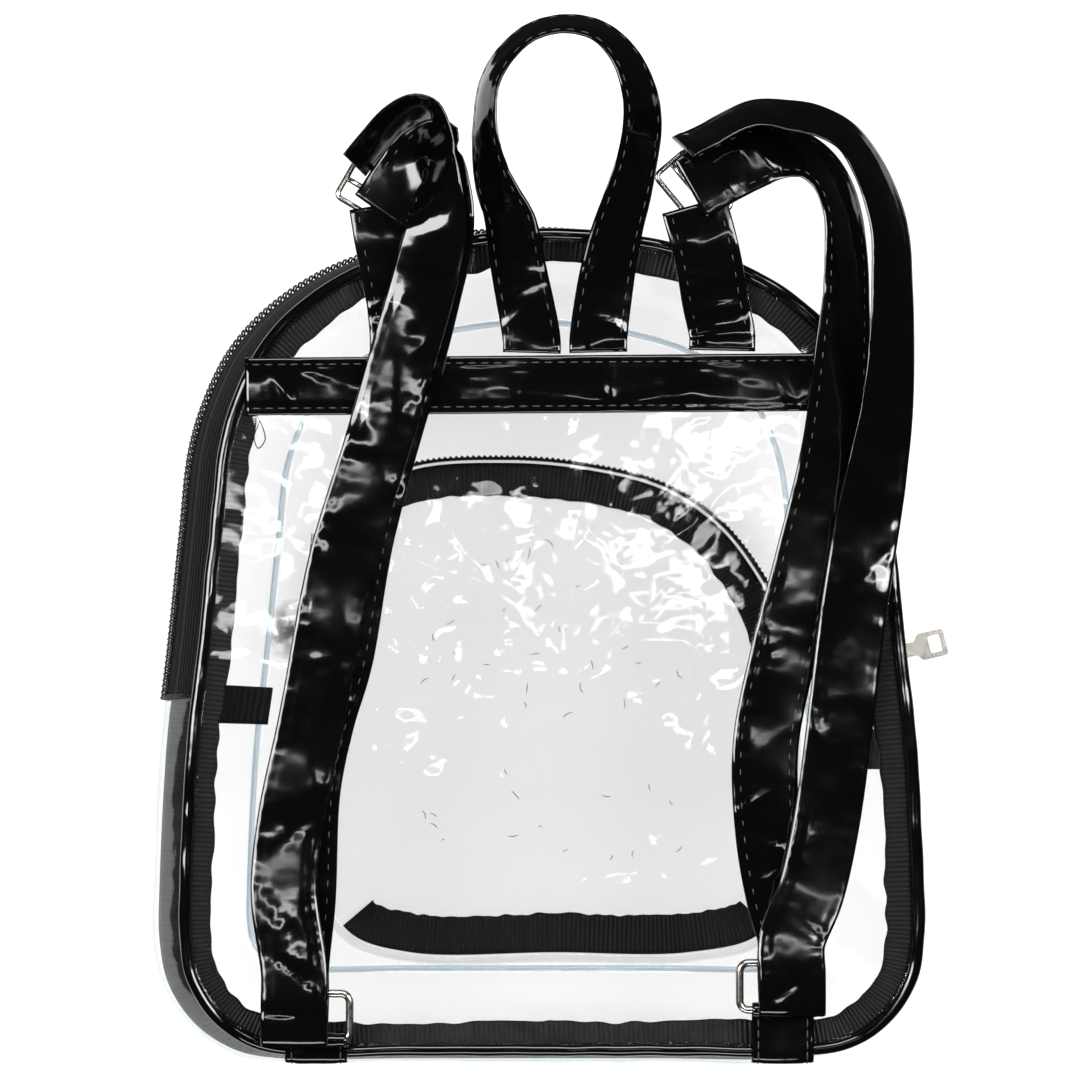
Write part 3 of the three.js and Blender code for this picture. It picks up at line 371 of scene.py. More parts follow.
def waves(along, across, seed, size, count=6):
    """Soft irregular waves of about one millimetre, at about a size in millimetres."""
    rng = np.random.default_rng(seed)
    total = 0
    for _ in range(count):
        turn = rng.uniform(0, np.pi)
        step = 2 * np.pi / (size * rng.uniform(0.6, 1.6))
        total = total + np.sin((along * np.cos(turn) + across * np.sin(turn)) * step + rng.uniform(0, 6.28))
    return total / count


def ripple(run, seed, size):
    """Waves along one line."""
    return waves(run, 0 * run, seed, size)


def creases(x, y, rows):
    """Sharp ridges: each row holds a place, a bearing, a length, a width and a height."""
    total = np.zeros(np.broadcast(x, y).shape)
    for cx, cy, bearing, length, width, height in rows:
        turn = np.radians(bearing)
        run = (x - cx) * np.cos(turn) + (y - cy) * np.sin(turn)
        off = (y - cy) * np.cos(turn) - (x - cx) * np.sin(turn)
        total += height * np.exp(-np.abs(off) / width) * np.exp(-(run * 2 / length) ** 2)
    return total


def soft_folds(x, y, rows):
    """Rounded folds from the same kind of rows."""
    total = np.zeros(np.broadcast(x, y).shape)
    for cx, cy, bearing, length, width, height in rows:
        turn = np.radians(bearing)
        run = (x - cx) * np.cos(turn) + (y - cy) * np.sin(turn)
        off = (y - cy) * np.cos(turn) - (x - cx) * np.sin(turn)
        total += height * np.exp(-(off / width) ** 2) * np.exp(-(run * 2 / length) ** 2)
    return total


def scattered_creases(seed, count, box, bearing, spread, length, width, height):
    """Rows for creases at seeded places in a box, with bearings about one value."""
    rng = np.random.default_rng(seed)
    return [(rng.uniform(box[0], box[1]), rng.uniform(box[2], box[3]), bearing + rng.normal(0, spread),
             rng.uniform(*length), rng.uniform(*width), rng.uniform(*height) * rng.choice((-1, 1)))
            for _ in range(count)]


# Making pieces

def add_piece(name, points, faces, finishes, replaced=(), uv=None, body=BAG):
    """One piece from points in millimetres and faces, riding on a body."""
    mesh = bpy.data.meshes.new(name)
    mesh.from_pydata((np.asarray(points, float) / 1000).tolist(), [], faces)
    if uv is not None:
        layer = mesh.uv_layers.new(name="run")
        layer.data.foreach_set("uv", (np.asarray(uv, float).reshape(-1, 2) / 1000).ravel())
    for finish in finishes:
        mesh.materials.append(finish)
    mesh.shade_smooth()
    mesh.update()
    piece = bpy.data.objects.new(name, mesh)
    bpy.context.scene.collection.objects.link(piece)
    if replaced:
        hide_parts(*replaced)
    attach(piece, body)
    return piece


def volume(points, faces):
    points = np.asarray(points, float)
    total = 0.0
    for size in {len(f) for f in faces}:
        chosen = np.array([f for f in faces if len(f) == size])
        a = points[chosen[:, 0]]
        for k in range(1, size - 1):
            total += np.einsum("ij,ij->", a, np.cross(points[chosen[:, k]], points[chosen[:, k + 1]]))
    return total


def sweep(sections, closed, along=None, across=None):
    """Faces and UVs of a closed skin through sections of equal size; open ends are capped in strips."""
    count, size = sections.shape[:2]
    along = np.arange(count + 1) if along is None else along
    across = np.arange(size + 1) if across is None else across
    faces, uv = [], []
    for i in range(count if closed else count - 1):
        a, b = i * size, ((i + 1) % count) * size
        for j in range(size):
            k = (j + 1) % size
            faces.append((a + j, a + k, b + k, b + j))
            uv += [(along[i], across[j]), (along[i], across[j + 1]), (along[i + 1], across[j + 1]),
                   (along[i + 1], across[j])]
    if not closed:
        for base, way in ((0, 1), ((count - 1) * size, -1)):
            for j in range(size // 2 - 1):
                cap = (base + size - 1 - j, base + size - 2 - j, base + j + 1, base + j)
                faces.append(cap[::way])
                uv += [(0, 0)] * 4
    points = sections.reshape(-1, 3)
    if volume(points, faces) < 0:
        faces = [f[::-1] for f in faces]
        uv = [uv[4 * i + 3 - j] for i in range(len(faces)) for j in range(4)]
    return points, faces, uv


def swept_piece(name, sections, closed, finishes, replaced=(), along=None, across=None):
    points, faces, uv = sweep(sections, closed, along, across)
    return add_piece(name, points, faces, finishes, replaced, uv)


def sheet_disc(name, outline, out, level, thickness, relief, finishes, replaced, rings=46, around=220):
    """A thin closed sheet that fills an outline, its relief a height at each place."""
    shares = np.linspace(0, 1, around, endpoint=False)
    rim = outline(shares, out)
    middle = rim.mean(axis=0)
    reach = 1 - (np.arange(rings) / rings) ** 1.15
    grid = middle + (rim[None] - middle) * reach[:, None, None]
    flat = np.vstack([grid.reshape(-1, 2), middle[None]])
    rise = relief(flat[:, 0], flat[:, 1])
    top = np.column_stack([flat, level + rise + thickness / 2])
    low = np.column_stack([flat, level + rise - thickness / 2])
    count = len(flat)
    faces = []
    for i in range(rings - 1):
        for j in range(around):
            k = (j + 1) % around
            quad = (i * around + j, i * around + k, (i + 1) * around + k, (i + 1) * around + j)
            faces += [quad, tuple(v + count for v in quad[::-1])]
    last = (rings - 1) * around
    for j in range(around):
        k = (j + 1) % around
        faces += [(last + j, last + k, count - 1), (2 * count - 1, last + k + count, last + j + count)]
        faces.append((j, j + count, k + count, k))
    points = np.vstack([top, low])
    if volume(points, faces) < 0:
        faces = [f[::-1] for f in faces]
    return add_piece(name, points, faces, finishes, replaced)


def tube(path, radius, sides, closed):
    """Sections of a tube round a path."""
    path = np.asarray(path, float)
    if closed:
        tangent = np.roll(path, -1, axis=0) - np.roll(path, 1, axis=0)
    else:
        tangent = np.gradient(path, axis=0)
    tangent /= np.linalg.norm(tangent, axis=1, keepdims=True)
    side = np.cross(tangent[0], (0.31, 0.23, 0.92))
    sides_at = []
    for t in tangent:
        side = side - t * np.dot(side, t)
        side = side / np.linalg.norm(side)
        sides_at.append(side)
    side = np.array(sides_at)
    up = np.cross(tangent, side)
    turn = np.arange(sides) * 2 * np.pi / sides
    radius = np.broadcast_to(radius, len(path))[:, None, None]
    return path[:, None] + radius * (side[:, None] * np.cos(turn)[None, :, None]
                                     + up[:, None] * np.sin(turn)[None, :, None])


def joined(parts):
    """One list of points and faces from many."""
    points, faces, base = [], [], 0
    for more, these in parts:
        points.append(more)
        faces += [tuple(v + base for v in f) for f in these]
        base += len(more)
    return np.vstack(points), faces


def stitch(centre, run, up, length, radius):
    """One stitch: a spindle that dips in at both ends."""
    stations = np.array((-1, -0.72, -0.3, 0.3, 0.72, 1)) * length / 2
    swell = np.array((0.25, 0.8, 1, 1, 0.8, 0.25)) * radius
    dip = np.array((-1.1, -0.35, 0, 0, -0.35, -1.1)) * radius
    side = np.cross(run, up)
    turn = np.arange(6) * np.pi / 3
    ring = side[None] * np.cos(turn)[:, None] + up[None] * np.sin(turn)[:, None]
    spots = centre + run * stations[:, None] + up * dip[:, None]
    return spots[:, None] + ring[None] * swell[:, None, None]


def stitch_row(name, spots, length=3.4, radius=0.27):
    """A piece of stitches from rows of centre, run and up."""
    parts = [sweep(stitch(c, r, u, length, radius), False)[:2] for c, r, u in spots]
    points, faces = joined(parts)
    return add_piece(name, points, faces, [THREAD])


# Shell of the bag

def wall_sections(shares, drops, inward, thickness, relief):
    """Closed thin sections of a side wall: outer face down, inner face back up."""
    rise = relief(shares[:, None] * BAG_LINE.length, drops[None])
    outer = place(shares[:, None], wall_out(drops)[None] - inward + rise, drops[None])
    inner = place(shares[:, None], wall_out(drops)[None] - inward - thickness + rise, drops[None])
    return np.concatenate([outer, inner[:, ::-1]], axis=1)


def flat_relief(x, y):
    return np.zeros(np.broadcast(x, y).shape)


BACK_CREASES = (
    # x, y, bearing, length, width, height
    (-6, 84, 12, 60, 1.2, 0.5), (-40, 78, 40, 40, 1.4, 0.5), (14, 96, -35, 40, 1.2, 0.5),
    (66, 112, -48, 46, 1.5, 0.8), (78, 100, -62, 34, 1.2, 0.6), (-82, 108, 48, 40, 1.4, 0.7),
    (-70, 120, 35, 36, 1.2, 0.5), (4, 112, 80, 30, 1.6, 0.5), (26, 108, 62, 26, 1.2, 0.5),
    (-20, -121, 4, 90, 1.6, 0.7), (40, -118, -6, 70, 1.4, 0.6), (-62, -128, 10, 60, 1.4, 0.6),
    (14, -128, 14, 50, 1.2, 0.5), (72, -126, -20, 50, 1.3, 0.6), (-96, -60, 84, 80, 2.0, 0.6),
    (100, -60, 96, 80, 2.0, 0.6), (-100, 20, 86, 70, 1.8, 0.5), (104, 30, 98, 60, 1.8, 0.5),
)


def back_relief(x, y):
    edge = np.clip((PANEL_HEIGHT / 2 - np.abs(y)) / 12, 0, 1) * np.clip((118 - np.abs(x)) / 12, 0, 1)
    sag = -1.8 * np.exp(-((x / 90) ** 2 + ((y + 10) / 105) ** 2) ** 2)
    soft = 0.35 * waves(x, y, 3, 46) + 0.16 * waves(x, y, 4, 17)
    under_straps = np.minimum(soft + creases(x, y, BACK_CREASES), 0.12) * edge
    return sag + under_straps - 0.15


FRONT_CREASES = scattered_creases(11, 26, (-90, 90, -110, 110), 70, 50, (16, 60), (1.2, 2.6), (0.2, 0.8))
POCKET_CREASES = (
    # x, y, bearing, length, width, height
    (10, 34, -58, 30, 1.6, 1.1), (16, 28, -40, 22, 1.2, 0.9), (27, 22, 70, 14, 1.5, 1.0),
    (22, -1, 50, 10, 1.4, 0.9), (-46, 50, 20, 20, 1.3, 0.6), (64, 20, 96, 56, 2.4, 1.3),
    (56, -64, 82, 40, 1.6, 0.5), (-50, -70, 75, 44, 1.5, 0.5), (0, -100, 3, 90, 1.6, 0.7),
    (-30, -96, -12, 40, 1.3, 0.5), (34, -97, 9, 40, 1.3, 0.6),
)


def front_relief(x, y):
    edge = np.clip((118 - np.abs(y + 4)) / 15, 0, 1) * np.clip((100 - np.abs(x + 6)) / 15, 0, 1)
    return (0.7 * waves(x, y, 5, 60) + 0.25 * waves(x, y, 6, 18) + creases(x, y, FRONT_CREASES)) * edge


def pocket_relief(x, y):
    edge = np.clip((88 - np.abs(y - POCKET_PLACE[1])) / 14, 0, 1)
    edge = edge * np.clip((86 - np.abs(x - POCKET_PLACE[0])) / 14, 0, 1)
    soft = 0.5 * waves(x, y, 7, 52) + 0.2 * waves(x, y, 8, 16) + creases(x, y, POCKET_CREASES)
    return (0.9 + soft) * edge * 0.8


def wall_relief(along, drop):
    grip = np.sin(np.pi * np.clip((drop - 3) / 70, 0, 1))
    return grip * (0.9 * waves(along, drop * 2, 21, 60) + 0.4 * waves(along, drop, 22, 15)
                   + creases(along, drop, WALL_CREASES))


WALL_CREASES = scattered_creases(23, 46, (-500, 900, 12, 70), 78, 34, (14, 46), (1.1, 2.4), (0.3, 1.0))


def make_shell():
    bag_rim = lambda shares, out: BAG_LINE.at(shares) + BAG_LINE.normal(shares) * out
    sheet_disc("back_film", bag_rim, -2 * PIPING_RADIUS + 1.2, BACK_PLANE, FILM, back_relief,
               [CLEAR_VINYL], ["back_panel"])
    lean = np.array(FRONT_LEAN)
    front_rim = lambda shares, out: BAG_LINE.at(shares) + BAG_LINE.normal(shares) * out + lean
    sheet_disc("front_film", front_rim, -FRONT_INSET + 0.6, FRONT_PLANE + 0.6, FILM, front_relief,
               [GREY_PATCH_VINYL], ["front_panel"])
    shares = np.linspace(0, 1, 420, endpoint=False)
    welt = place(shares, -FRONT_INSET + 1.6, BAG_DEPTH - 0.6)
    swept_piece("front_seam_welt", tube(welt, WELT_RADIUS, 10, True), True, [RIM_VINYL],
                ["front_welt"])
    run = shares * BAG_LINE.length
    wander = 0.25 * ripple(run, 31, 26)
    piping = place(shares, -PIPING_RADIUS + wander, 0.2 * ripple(run, 32, 40))
    swell = PIPING_RADIUS * (1 + 0.05 * ripple(run, 33, 16))
    swept_piece("back_piping_cord", tube(piping, swell, 16, True), True, [PATENT_VINYL],
                ["back_piping"])

    drops = np.linspace(PIPING_RADIUS + 0.2, BAG_DEPTH - 1.6, 34)
    lower = np.linspace(ZIP_LEFT - 1, ZIP_RIGHT, 300)
    swept_piece("lower_wall_film", wall_sections(lower, drops, 0, FILM, wall_relief), False,
                [CLEAR_VINYL], ["gusset_lower"])
    upper_drops = np.linspace(TAPE_FOOT, BAG_DEPTH - 1.6, 18)
    upper = np.linspace(ZIP_RIGHT, ZIP_LEFT, 300)
    swept_piece("upper_wall_film", wall_sections(upper, upper_drops, 0, FILM, wall_relief), False,
                [CLEAR_VINYL], ["gusset_upper"])


def make_zip():
    # the clear wall is rolled over at the zip's left end and shows as a bright lip
    drops = np.linspace(3.5, 44, 26)
    lip = place(ZIP_LEFT - 1 / BAG_LINE.length, wall_out(drops) + 0.4, drops)
    swept_piece("wall_end_lip", tube(lip, 1.0, 10, False), False, [RIM_VINYL])
    shares = np.linspace(ZIP_RIGHT, ZIP_LEFT, 380)
    run = (shares - ZIP_RIGHT) * BAG_LINE.length
    edge_drops = np.linspace(PIPING_RADIUS + 0.2, TAPE_TOP - 0.5, 8)
    across = np.concatenate([edge_drops, edge_drops[::-1], edge_drops[:1]])
    swept_piece("zip_edge_tape", wall_sections(shares, edge_drops, 0.1, 0.9, flat_relief), False,
                [TAPE], ["zip_edge_strip"], run, across)
    tape_drops = np.linspace(TAPE_TOP, TAPE_FOOT, 12)
    across = np.concatenate([tape_drops, tape_drops[::-1], tape_drops[:1]])
    swept_piece("zip_tape", wall_sections(shares, tape_drops, 0.3, 0.8, flat_relief), False,
                [TAPE], ["zip_tape_back", "zip_tape_front"], run, across)
    turns = int((ZIP_LEFT - ZIP_RIGHT) * BAG_LINE.length / COIL_PITCH)
    per_turn = 10
    step = np.arange(turns * per_turn + 1) / per_turn
    share = ZIP_RIGHT + (ZIP_LEFT - ZIP_RIGHT) * step / turns
    parts = []
    for side in (-1, 1):
        turn = 2 * np.pi * (step + (side > 0) * 0.5)
        drop = ZIP_DROP + side * 1.15 + 1.35 * np.cos(turn) * side
        path = place(share, wall_out(ZIP_DROP) + 0.75 + 0.75 * np.sin(turn), drop)
        parts.append(sweep(tube(path, 0.42, 5, False), False)[:2])
    points, faces = joined(parts)
    add_piece("zip_coil", points, faces, [COIL], ["zip_teeth"])


def make_binding():
    shares = np.linspace(0, 1, 460, endpoint=False)
    run = np.append(shares, 1) * BAG_LINE.length
    steps = np.linspace(0, 1, 9)
    width = 8.6 + (1.5 * ripple(run[:-1], 41, 44) + 0.9 * ripple(run[:-1], 42, 9))
    inner = -2 * PIPING_RADIUS + 0.6
    curl = 0.5 * ripple(run[:-1], 43, 18)
    leaf_out = inner - width[:, None] * (1 - steps[None])
    leaf_drop = 1.3 + (1 - steps[None]) * (0.5 + np.abs(curl))[:, None] * 1.4
    leg = np.linspace(4.3, 22, 6)
    top = place(shares[:, None], leaf_out, leaf_drop)
    low = place(shares[:, None], leaf_out, leaf_drop + 0.7)
    side, side_in = (place(shares[:, None], np.broadcast_to(wall_out(leg) - inward, (len(shares), 6)),
                           leg[None]) for inward in (1.4, 2.1))
    sections = np.concatenate([top, side, side_in[:, ::-1], low[:, ::-1]], axis=1)
    swept_piece("seam_binding", sections, True, [BINDING], ["seam_ribbon"], run)

    # on the lower left wall a wide binding shows through the film from outside
    shares = np.linspace(ZIP_LEFT + 2 / BAG_LINE.length, ZIP_LEFT + WIDE_BINDING_SHARE, 90)
    run = (shares - shares[0]) * BAG_LINE.length
    fade = np.clip((run[-1] - run) / 60, 0.25, 1)
    share_down = np.linspace(0, 1, 9)
    foot = 5 + (27 + 1.5 * ripple(run, 47, 30)) * fade
    drops = 5 + (foot[:, None] - 5) * share_down[None]
    faces = [place(shares[:, None], wall_out(drops) - inward, drops) for inward in (2.4, 3.1)]
    sections = np.concatenate([faces[0], faces[1][:, ::-1]], axis=1)
    swept_piece("lower_wall_binding", sections, False, [BINDING], (), run)
    for name, joint, last in (("right", ZIP_RIGHT, 70.0), ("left", ZIP_LEFT, 76.5)):
        half = 15 / BAG_LINE.length / 2
        across = np.linspace(joint - half, joint + half, 12)
        drops = np.linspace(12, last, 40)
        uneven = 0.4 * waves(drops[:, None], across[None] * 900, 45, 20)
        faces = [place(across[None], wall_out(drops)[:, None] - inward + uneven, drops[:, None])
                 for inward in (3.3, 4.0)]
        sections = np.concatenate([faces[0], faces[1][:, ::-1]], axis=1)
        swept_piece(f"joint_band_{name}_ribbed", sections, False, [BINDING],
                    [f"joint_band_{name}"], np.append(drops, last))


# Patent strips: band, handle, anchors and shoulder straps

class Strip:
    """A padded strip along rows of x, y, z, bearing and tilt."""

    def __init__(self, rows, width, per_span, relief, thickness=PATENT, channel=3.2):
        rows = np.asarray(rows, float)
        fine = spline(rows[:, :3], False, per_span)
        at_row = np.linspace(0, len(rows) - 1, len(fine))
        angles = np.stack([np.interp(at_row, np.arange(len(rows)), rows[:, k]) for k in (3, 4)], axis=1)
        kernel = np.hanning(per_span + 3)
        kernel /= kernel.sum()
        half = len(kernel) // 2
        padded = np.pad(angles, ((half, len(kernel) - 1 - half), (0, 0)), mode="edge")
        angles = np.stack([np.convolve(padded[:, k], kernel, mode="valid") for k in (0, 1)], axis=1)
        run = lengths(fine)
        self.run = np.linspace(0, run[-1], max(int(run[-1] / 1.5), 12))
        self.centre = np.stack([np.interp(self.run, run, fine[:, k]) for k in range(3)], axis=1)
        bearing, tilt = (np.radians(np.interp(self.run, run, angles[:, k])) for k in (0, 1))
        tangent = np.gradient(self.centre, axis=0)
        self.tangent = tangent / np.linalg.norm(tangent, axis=1, keepdims=True)
        side = np.stack([np.cos(bearing) * np.cos(tilt), np.sin(bearing) * np.cos(tilt), np.sin(tilt)],
                        axis=1)
        side -= self.tangent * np.sum(side * self.tangent, axis=1, keepdims=True)
        self.side = side / np.linalg.norm(side, axis=1, keepdims=True)
        self.up = np.cross(self.side, self.tangent)
        self.width, self.thickness, self.channel, self.relief = width, thickness, channel, relief

    def profile(self, across):
        """Half the thickness at a place across: rounded edges, a sunk line at each seam, a full middle."""
        edge = np.abs(across) / (self.width / 2)
        round_edge = np.sqrt(np.clip(1 - edge ** 9, 0, 1))
        seam = self.width / 2 - self.channel
        sunk = 0.42 * np.exp(-((np.abs(across) - seam) / 0.75) ** 2)
        crown = 0.22 * np.clip(1 - (across / seam) ** 2, 0, 1)
        return self.thickness / 2 * round_edge * (1 - sunk) + crown

    def sections(self):
        count = 15
        turn = np.linspace(-1, 1, count)
        across = self.width / 2 * np.sin(turn * np.pi / 2)
        half = self.profile(across)
        rise = self.relief(self.run[:, None], across[None])
        top = (self.centre[:, None] + self.side[:, None] * across[None, :, None]
               + self.up[:, None] * (half[None] + rise)[..., None])
        low = (self.centre[:, None] + self.side[:, None] * across[None, 1:-1, None]
               + self.up[:, None] * (-half[None, 1:-1] + rise[:, 1:-1])[..., None])
        return np.concatenate([top, low[:, ::-1]], axis=1)

    def spots(self, across, pitch, start=4.0, end=4.0, face=1):
        """Where the stitches lie along a line at a place across."""
        found = []
        for at in np.arange(start, self.run[-1] - end, pitch):
            centre, side, up, run = (np.array([np.interp(at, self.run, part[:, k]) for k in range(3)])
                                     for part in (self.centre, self.side, self.up, self.tangent))
            lift = self.profile(np.array([across]))[0] * face
            lift += self.relief(np.array([[at]]), np.array([[across]]))[0, 0] + 0.1 * face
            found.append((centre + side * across + up * lift, run, up * face))
        return found


def strip_piece(name, strip, slot, replaced, both=False, pitch=STITCH_PITCH, **limits):
    swept_piece(name, strip.sections(), False, [PATENT_VINYL], [replaced],
                np.append(strip.run, strip.run[-1]))
    spots = []
    for across in (-(strip.width / 2 - strip.channel), strip.width / 2 - strip.channel):
        spots += strip.spots(across, pitch, **limits)
        if both:
            spots += strip.spots(across, pitch, face=-1, **limits)
    stitch_row(f"{name}_stitches", spots)


def band_edge(x):
    return BAND_LEVEL + BAND_WIDTH / 2 + 0.3 + BAND_RISE * x / (PANEL_WIDTH / 2) + BAND_RISE / 2


# Places along the handle: shares of its spread, reach and lift, then bearing and tilt in degrees
HANDLE_ROWS = (
    (-0.43, 0.0, 0.0, 0, 0), (-0.43, 0.04, 0.01, 0, 0), (-0.6, 0.26, 0.24, 0, 16), (-0.7, 0.4, 0.58, 6, 30),
    (-0.88, 0.5, 0.77, 4, 46), (-0.99, 0.6, 0.88, 0, 60), (-1.02, 0.7, 0.93, -8, 66),
    (-0.96, 0.81, 0.95, -25, 68), (-0.74, 0.9, 1.0, -50, 66), (-0.43, 0.965, 1.0, -70, 64),
    (-0.02, 0.99, 1.0, -92, 64), (0.42, 0.965, 1.0, -115, 62), (0.76, 0.885, 0.96, -140, 56),
    (0.95, 0.77, 0.88, -165, 50), (0.97, 0.67, 0.78, -180, 48), (0.9, 0.57, 0.66, -185, 46),
    (0.8, 0.48, 0.6, -188, 38), (0.66, 0.37, 0.42, -186, 28), (0.55, 0.25, 0.17, -182, 16),
    (0.43, 0.04, 0.01, -180, 0), (0.43, 0.0, 0.0, -180, 0),
)
SEWN_LEVEL = BACK_FACE + 0.6 + 0.9

# Places along each strap layer: shares of the half width, half height and lift, then bearing and tilt.
# They run from above the slide over the top of the bag and down towards the ring.
LEFT_LOWER = (
    (-0.453, 1.026, 0.56, -38, 0), (-0.43, 1.055, 0.56, -38, 0), (-0.41, 1.082, 0.56, -38, -3),
    (-0.37, 1.134, 0.53, -44, -14), (-0.342, 1.174, 0.48, -60, -32), (-0.312, 1.198, 0.44, -90, -50),
    (-0.284, 1.192, 0.42, -124, -54), (-0.296, 1.155, 0.5, -154, -46), (-0.3, 1.095, 0.66, -174, -22),
    (-0.293, 1.024, 0.72, -184, -10), (-0.301, 0.947, 0.61, -191, -4), (-0.327, 0.85, 0.42, -193, -2),
    (-0.37, 0.7, 0.27, -194, 0), (-0.427, 0.536, 0.19, -195, 0), (-0.513, 0.246, 0.11, -194, 0),
    (-0.569, -0.043, 0.08, -193, 0), (-0.617, -0.188, 0.08, -192, 0), (-0.655, -0.357, 0.08, -188, 0),
    (-0.668, -0.62, 0.08, -184, 0),
)
LEFT_UPPER = (
    (-0.522, 1.136, 0.96, -39, -69), (-0.476, 1.186, 0.96, -40, -69), (-0.415, 1.245, 0.94, -46, -69),
    (-0.36, 1.27, 0.92, -76, -70), (-0.318, 1.258, 0.9, -118, -70), (-0.297, 1.212, 0.9, -152, -68),
    (-0.295, 1.145, 0.87, -172, -62), (-0.298, 1.075, 0.92, -181, -46), (-0.306, 0.985, 0.92, -188, -20),
    (-0.344, 0.85, 0.6, -193, -6), (-0.392, 0.705, 0.46, -194, 0), (-0.467, 0.473, 0.38, -195, 0),
    (-0.564, 0.188, 0.3, -193, 0), (-0.641, -0.179, 0.27, -191, 0), (-0.7, -0.435, 0.3, -188, 0),
    (-0.715, -0.604, 0.38, -184, 0),
)
RIGHT_LOWER = (
    (0.366, 1.086, 0.56, -52, 0), (0.41, 1.108, 0.56, -54, 0), (0.46, 1.133, 0.55, -58, 2),
    (0.522, 1.16, 0.5, -66, 8), (0.575, 1.176, 0.45, -84, 20), (0.632, 1.176, 0.42, -98, 34),
    (0.69, 1.158, 0.42, -114, 44), (0.742, 1.108, 0.46, -140, 50), (0.772, 1.035, 0.5, -163, 50),
    (0.782, 0.947, 0.5, -177, 46), (0.783, 0.826, 0.48, -183, 40), (0.775, 0.705, 0.46, -187, 30),
    (0.765, 0.56, 0.39, -190, 16), (0.746, 0.43, 0.27, -192, 4), (0.682, 0.188, 0.12, -195, 0),
    (0.617, -0.039, 0.09, -192, 0), (0.572, -0.251, 0.08, -180, 0), (0.58, -0.464, 0.08, -176, 0),
    (0.61, -0.62, 0.08, -176, 0),
)
RIGHT_UPPER = (
    (0.344, 1.181, 0.92, -65, 62), (0.407, 1.209, 0.87, -65, 64), (0.49, 1.25, 0.8, -68, 64),
    (0.55, 1.266, 0.75, -82, 60), (0.634, 1.26, 0.71, -95, 56), (0.7, 1.249, 0.7, -102, 55),
    (0.78, 1.21, 0.72, -120, 56), (0.833, 1.145, 0.72, -140, 54), (0.873, 1.061, 0.72, -155, 51),
    (0.896, 0.977, 0.7, -170, 49), (0.902, 0.85, 0.67, -178, 46), (0.902, 0.705, 0.64, -183, 42),
    (0.891, 0.56, 0.57, -188, 34), (0.862, 0.391, 0.46, -190, 18), (0.832, 0.234, 0.35, -191, 4),
    (0.8, 0.041, 0.3, -190, 0), (0.768, -0.2, 0.28, -188, 0), (0.733, -0.43, 0.3, -187, 0),
    (0.69, -0.6, 0.4, -186, 0),
)

# Places along the anchor strips, above their straight foot, in the same shares
LEFT_ANCHOR = (
    (-0.408, 0.82, 0.14, 0, 0), (-0.424, 0.9, 0.28, 0, 0), (-0.438, 0.965, 0.4, 0, 0),
    (-0.453, 1.05, 0.4, 0, 0),
)
RIGHT_ANCHOR = (
    (0.437, 0.82, 0.14, 0, 0), (0.421, 0.9, 0.3, 0, 0), (0.404, 0.965, 0.39, 0, 0),
    (0.378, 1.05, 0.4, 0, 0),
)

# Each shoulder strap: its slide, its ring, where the strap and the tab meet the ring, and its foot
SIDES = {
    "left": {"slide": (-63.0, 161.0, -30), "ring": (-87.5, -135.1), "strap_x": -92.6, "tab": 2.2,
             "anchor": LEFT_ANCHOR, "lower": LEFT_LOWER, "upper": LEFT_UPPER, "foot": -54, "seed": 60},
    "right": {"slide": (51.1, 163.0, -50), "ring": (82.2, -124), "strap_x": 86.2, "tab": 1.2,
              "anchor": RIGHT_ANCHOR, "lower": RIGHT_LOWER, "upper": RIGHT_UPPER, "foot": 61.5, "seed": 80},
}
RING_SIZE = (32, 20)
WIRE = 1.5
TAB_WIDTH = 22.5
TAB_THICKNESS = 1.2
SLIDE_SIZE = (28, 17)


# Where the strips are crumpled: run along the strip, place across, bearing, length, width, height
STRAP_CREASES = {
    "left": (
        (30, 2, 80, 22, 1.4, 0.5), (38, -4, 100, 18, 1.2, -0.4), (150, 5, 40, 26, 1.2, 0.35),
        (196, -4, 140, 26, 1.2, 0.35), (352, 3, 70, 18, 1.6, 0.5), (368, -4, 105, 20, 1.4, -0.5),
        (384, 5, 84, 20, 1.6, 0.5), (398, -2, 52, 20, 1.3, 0.5), (420, 4, 30, 26, 1.2, 0.4),
        (452, -4, 150, 30, 1.2, 0.35), (520, 5, 24, 34, 1.2, 0.35), (640, -5, 160, 30, 1.1, 0.35),
        (690, 4, 76, 20, 1.5, 0.5), (702, -5, 100, 18, 1.4, 0.5), (722, 2, 60, 20, 1.2, 0.4),
    ),
    "right": (
        (12, 0, 84, 22, 1.1, 0.6), (20, 4, 104, 20, 1.1, -0.5), (28, -3, 76, 18, 1.1, 0.6),
        (38, 2, 92, 20, 1.2, -0.4), (96, 4, 60, 20, 1.4, 0.4), (180, -4, 36, 28, 1.2, 0.4),
        (230, 5, 150, 28, 1.2, 0.4), (262, -4, 44, 26, 1.3, 0.4), (286, 4, 62, 20, 1.3, 0.5),
        (300, -3, 118, 22, 1.3, -0.5), (314, 3, 74, 18, 1.2, 0.5), (326, 5, 58, 22, 1.2, 0.5),
        (338, 0, 66, 22, 1.3, -0.5), (350, -3, 112, 22, 1.3, 0.6), (362, 4, 78, 20, 1.2, -0.5),
        (376, 2, 124, 20, 1.4, 0.5), (400, -4, 70, 18, 1.5, 0.4), (470, 4, 30, 28, 1.2, 0.4),
        (530, -4, 148, 28, 1.2, 0.4), (600, 5, 32, 28, 1.2, 0.4), (700, 4, 60, 22, 1.3, 0.4),
        (742, 3, 82, 20, 1.0, 0.5), (750, -3, 96, 22, 1.0, -0.5), (758, 2, 88, 20, 1.0, 0.5),
    ),
}
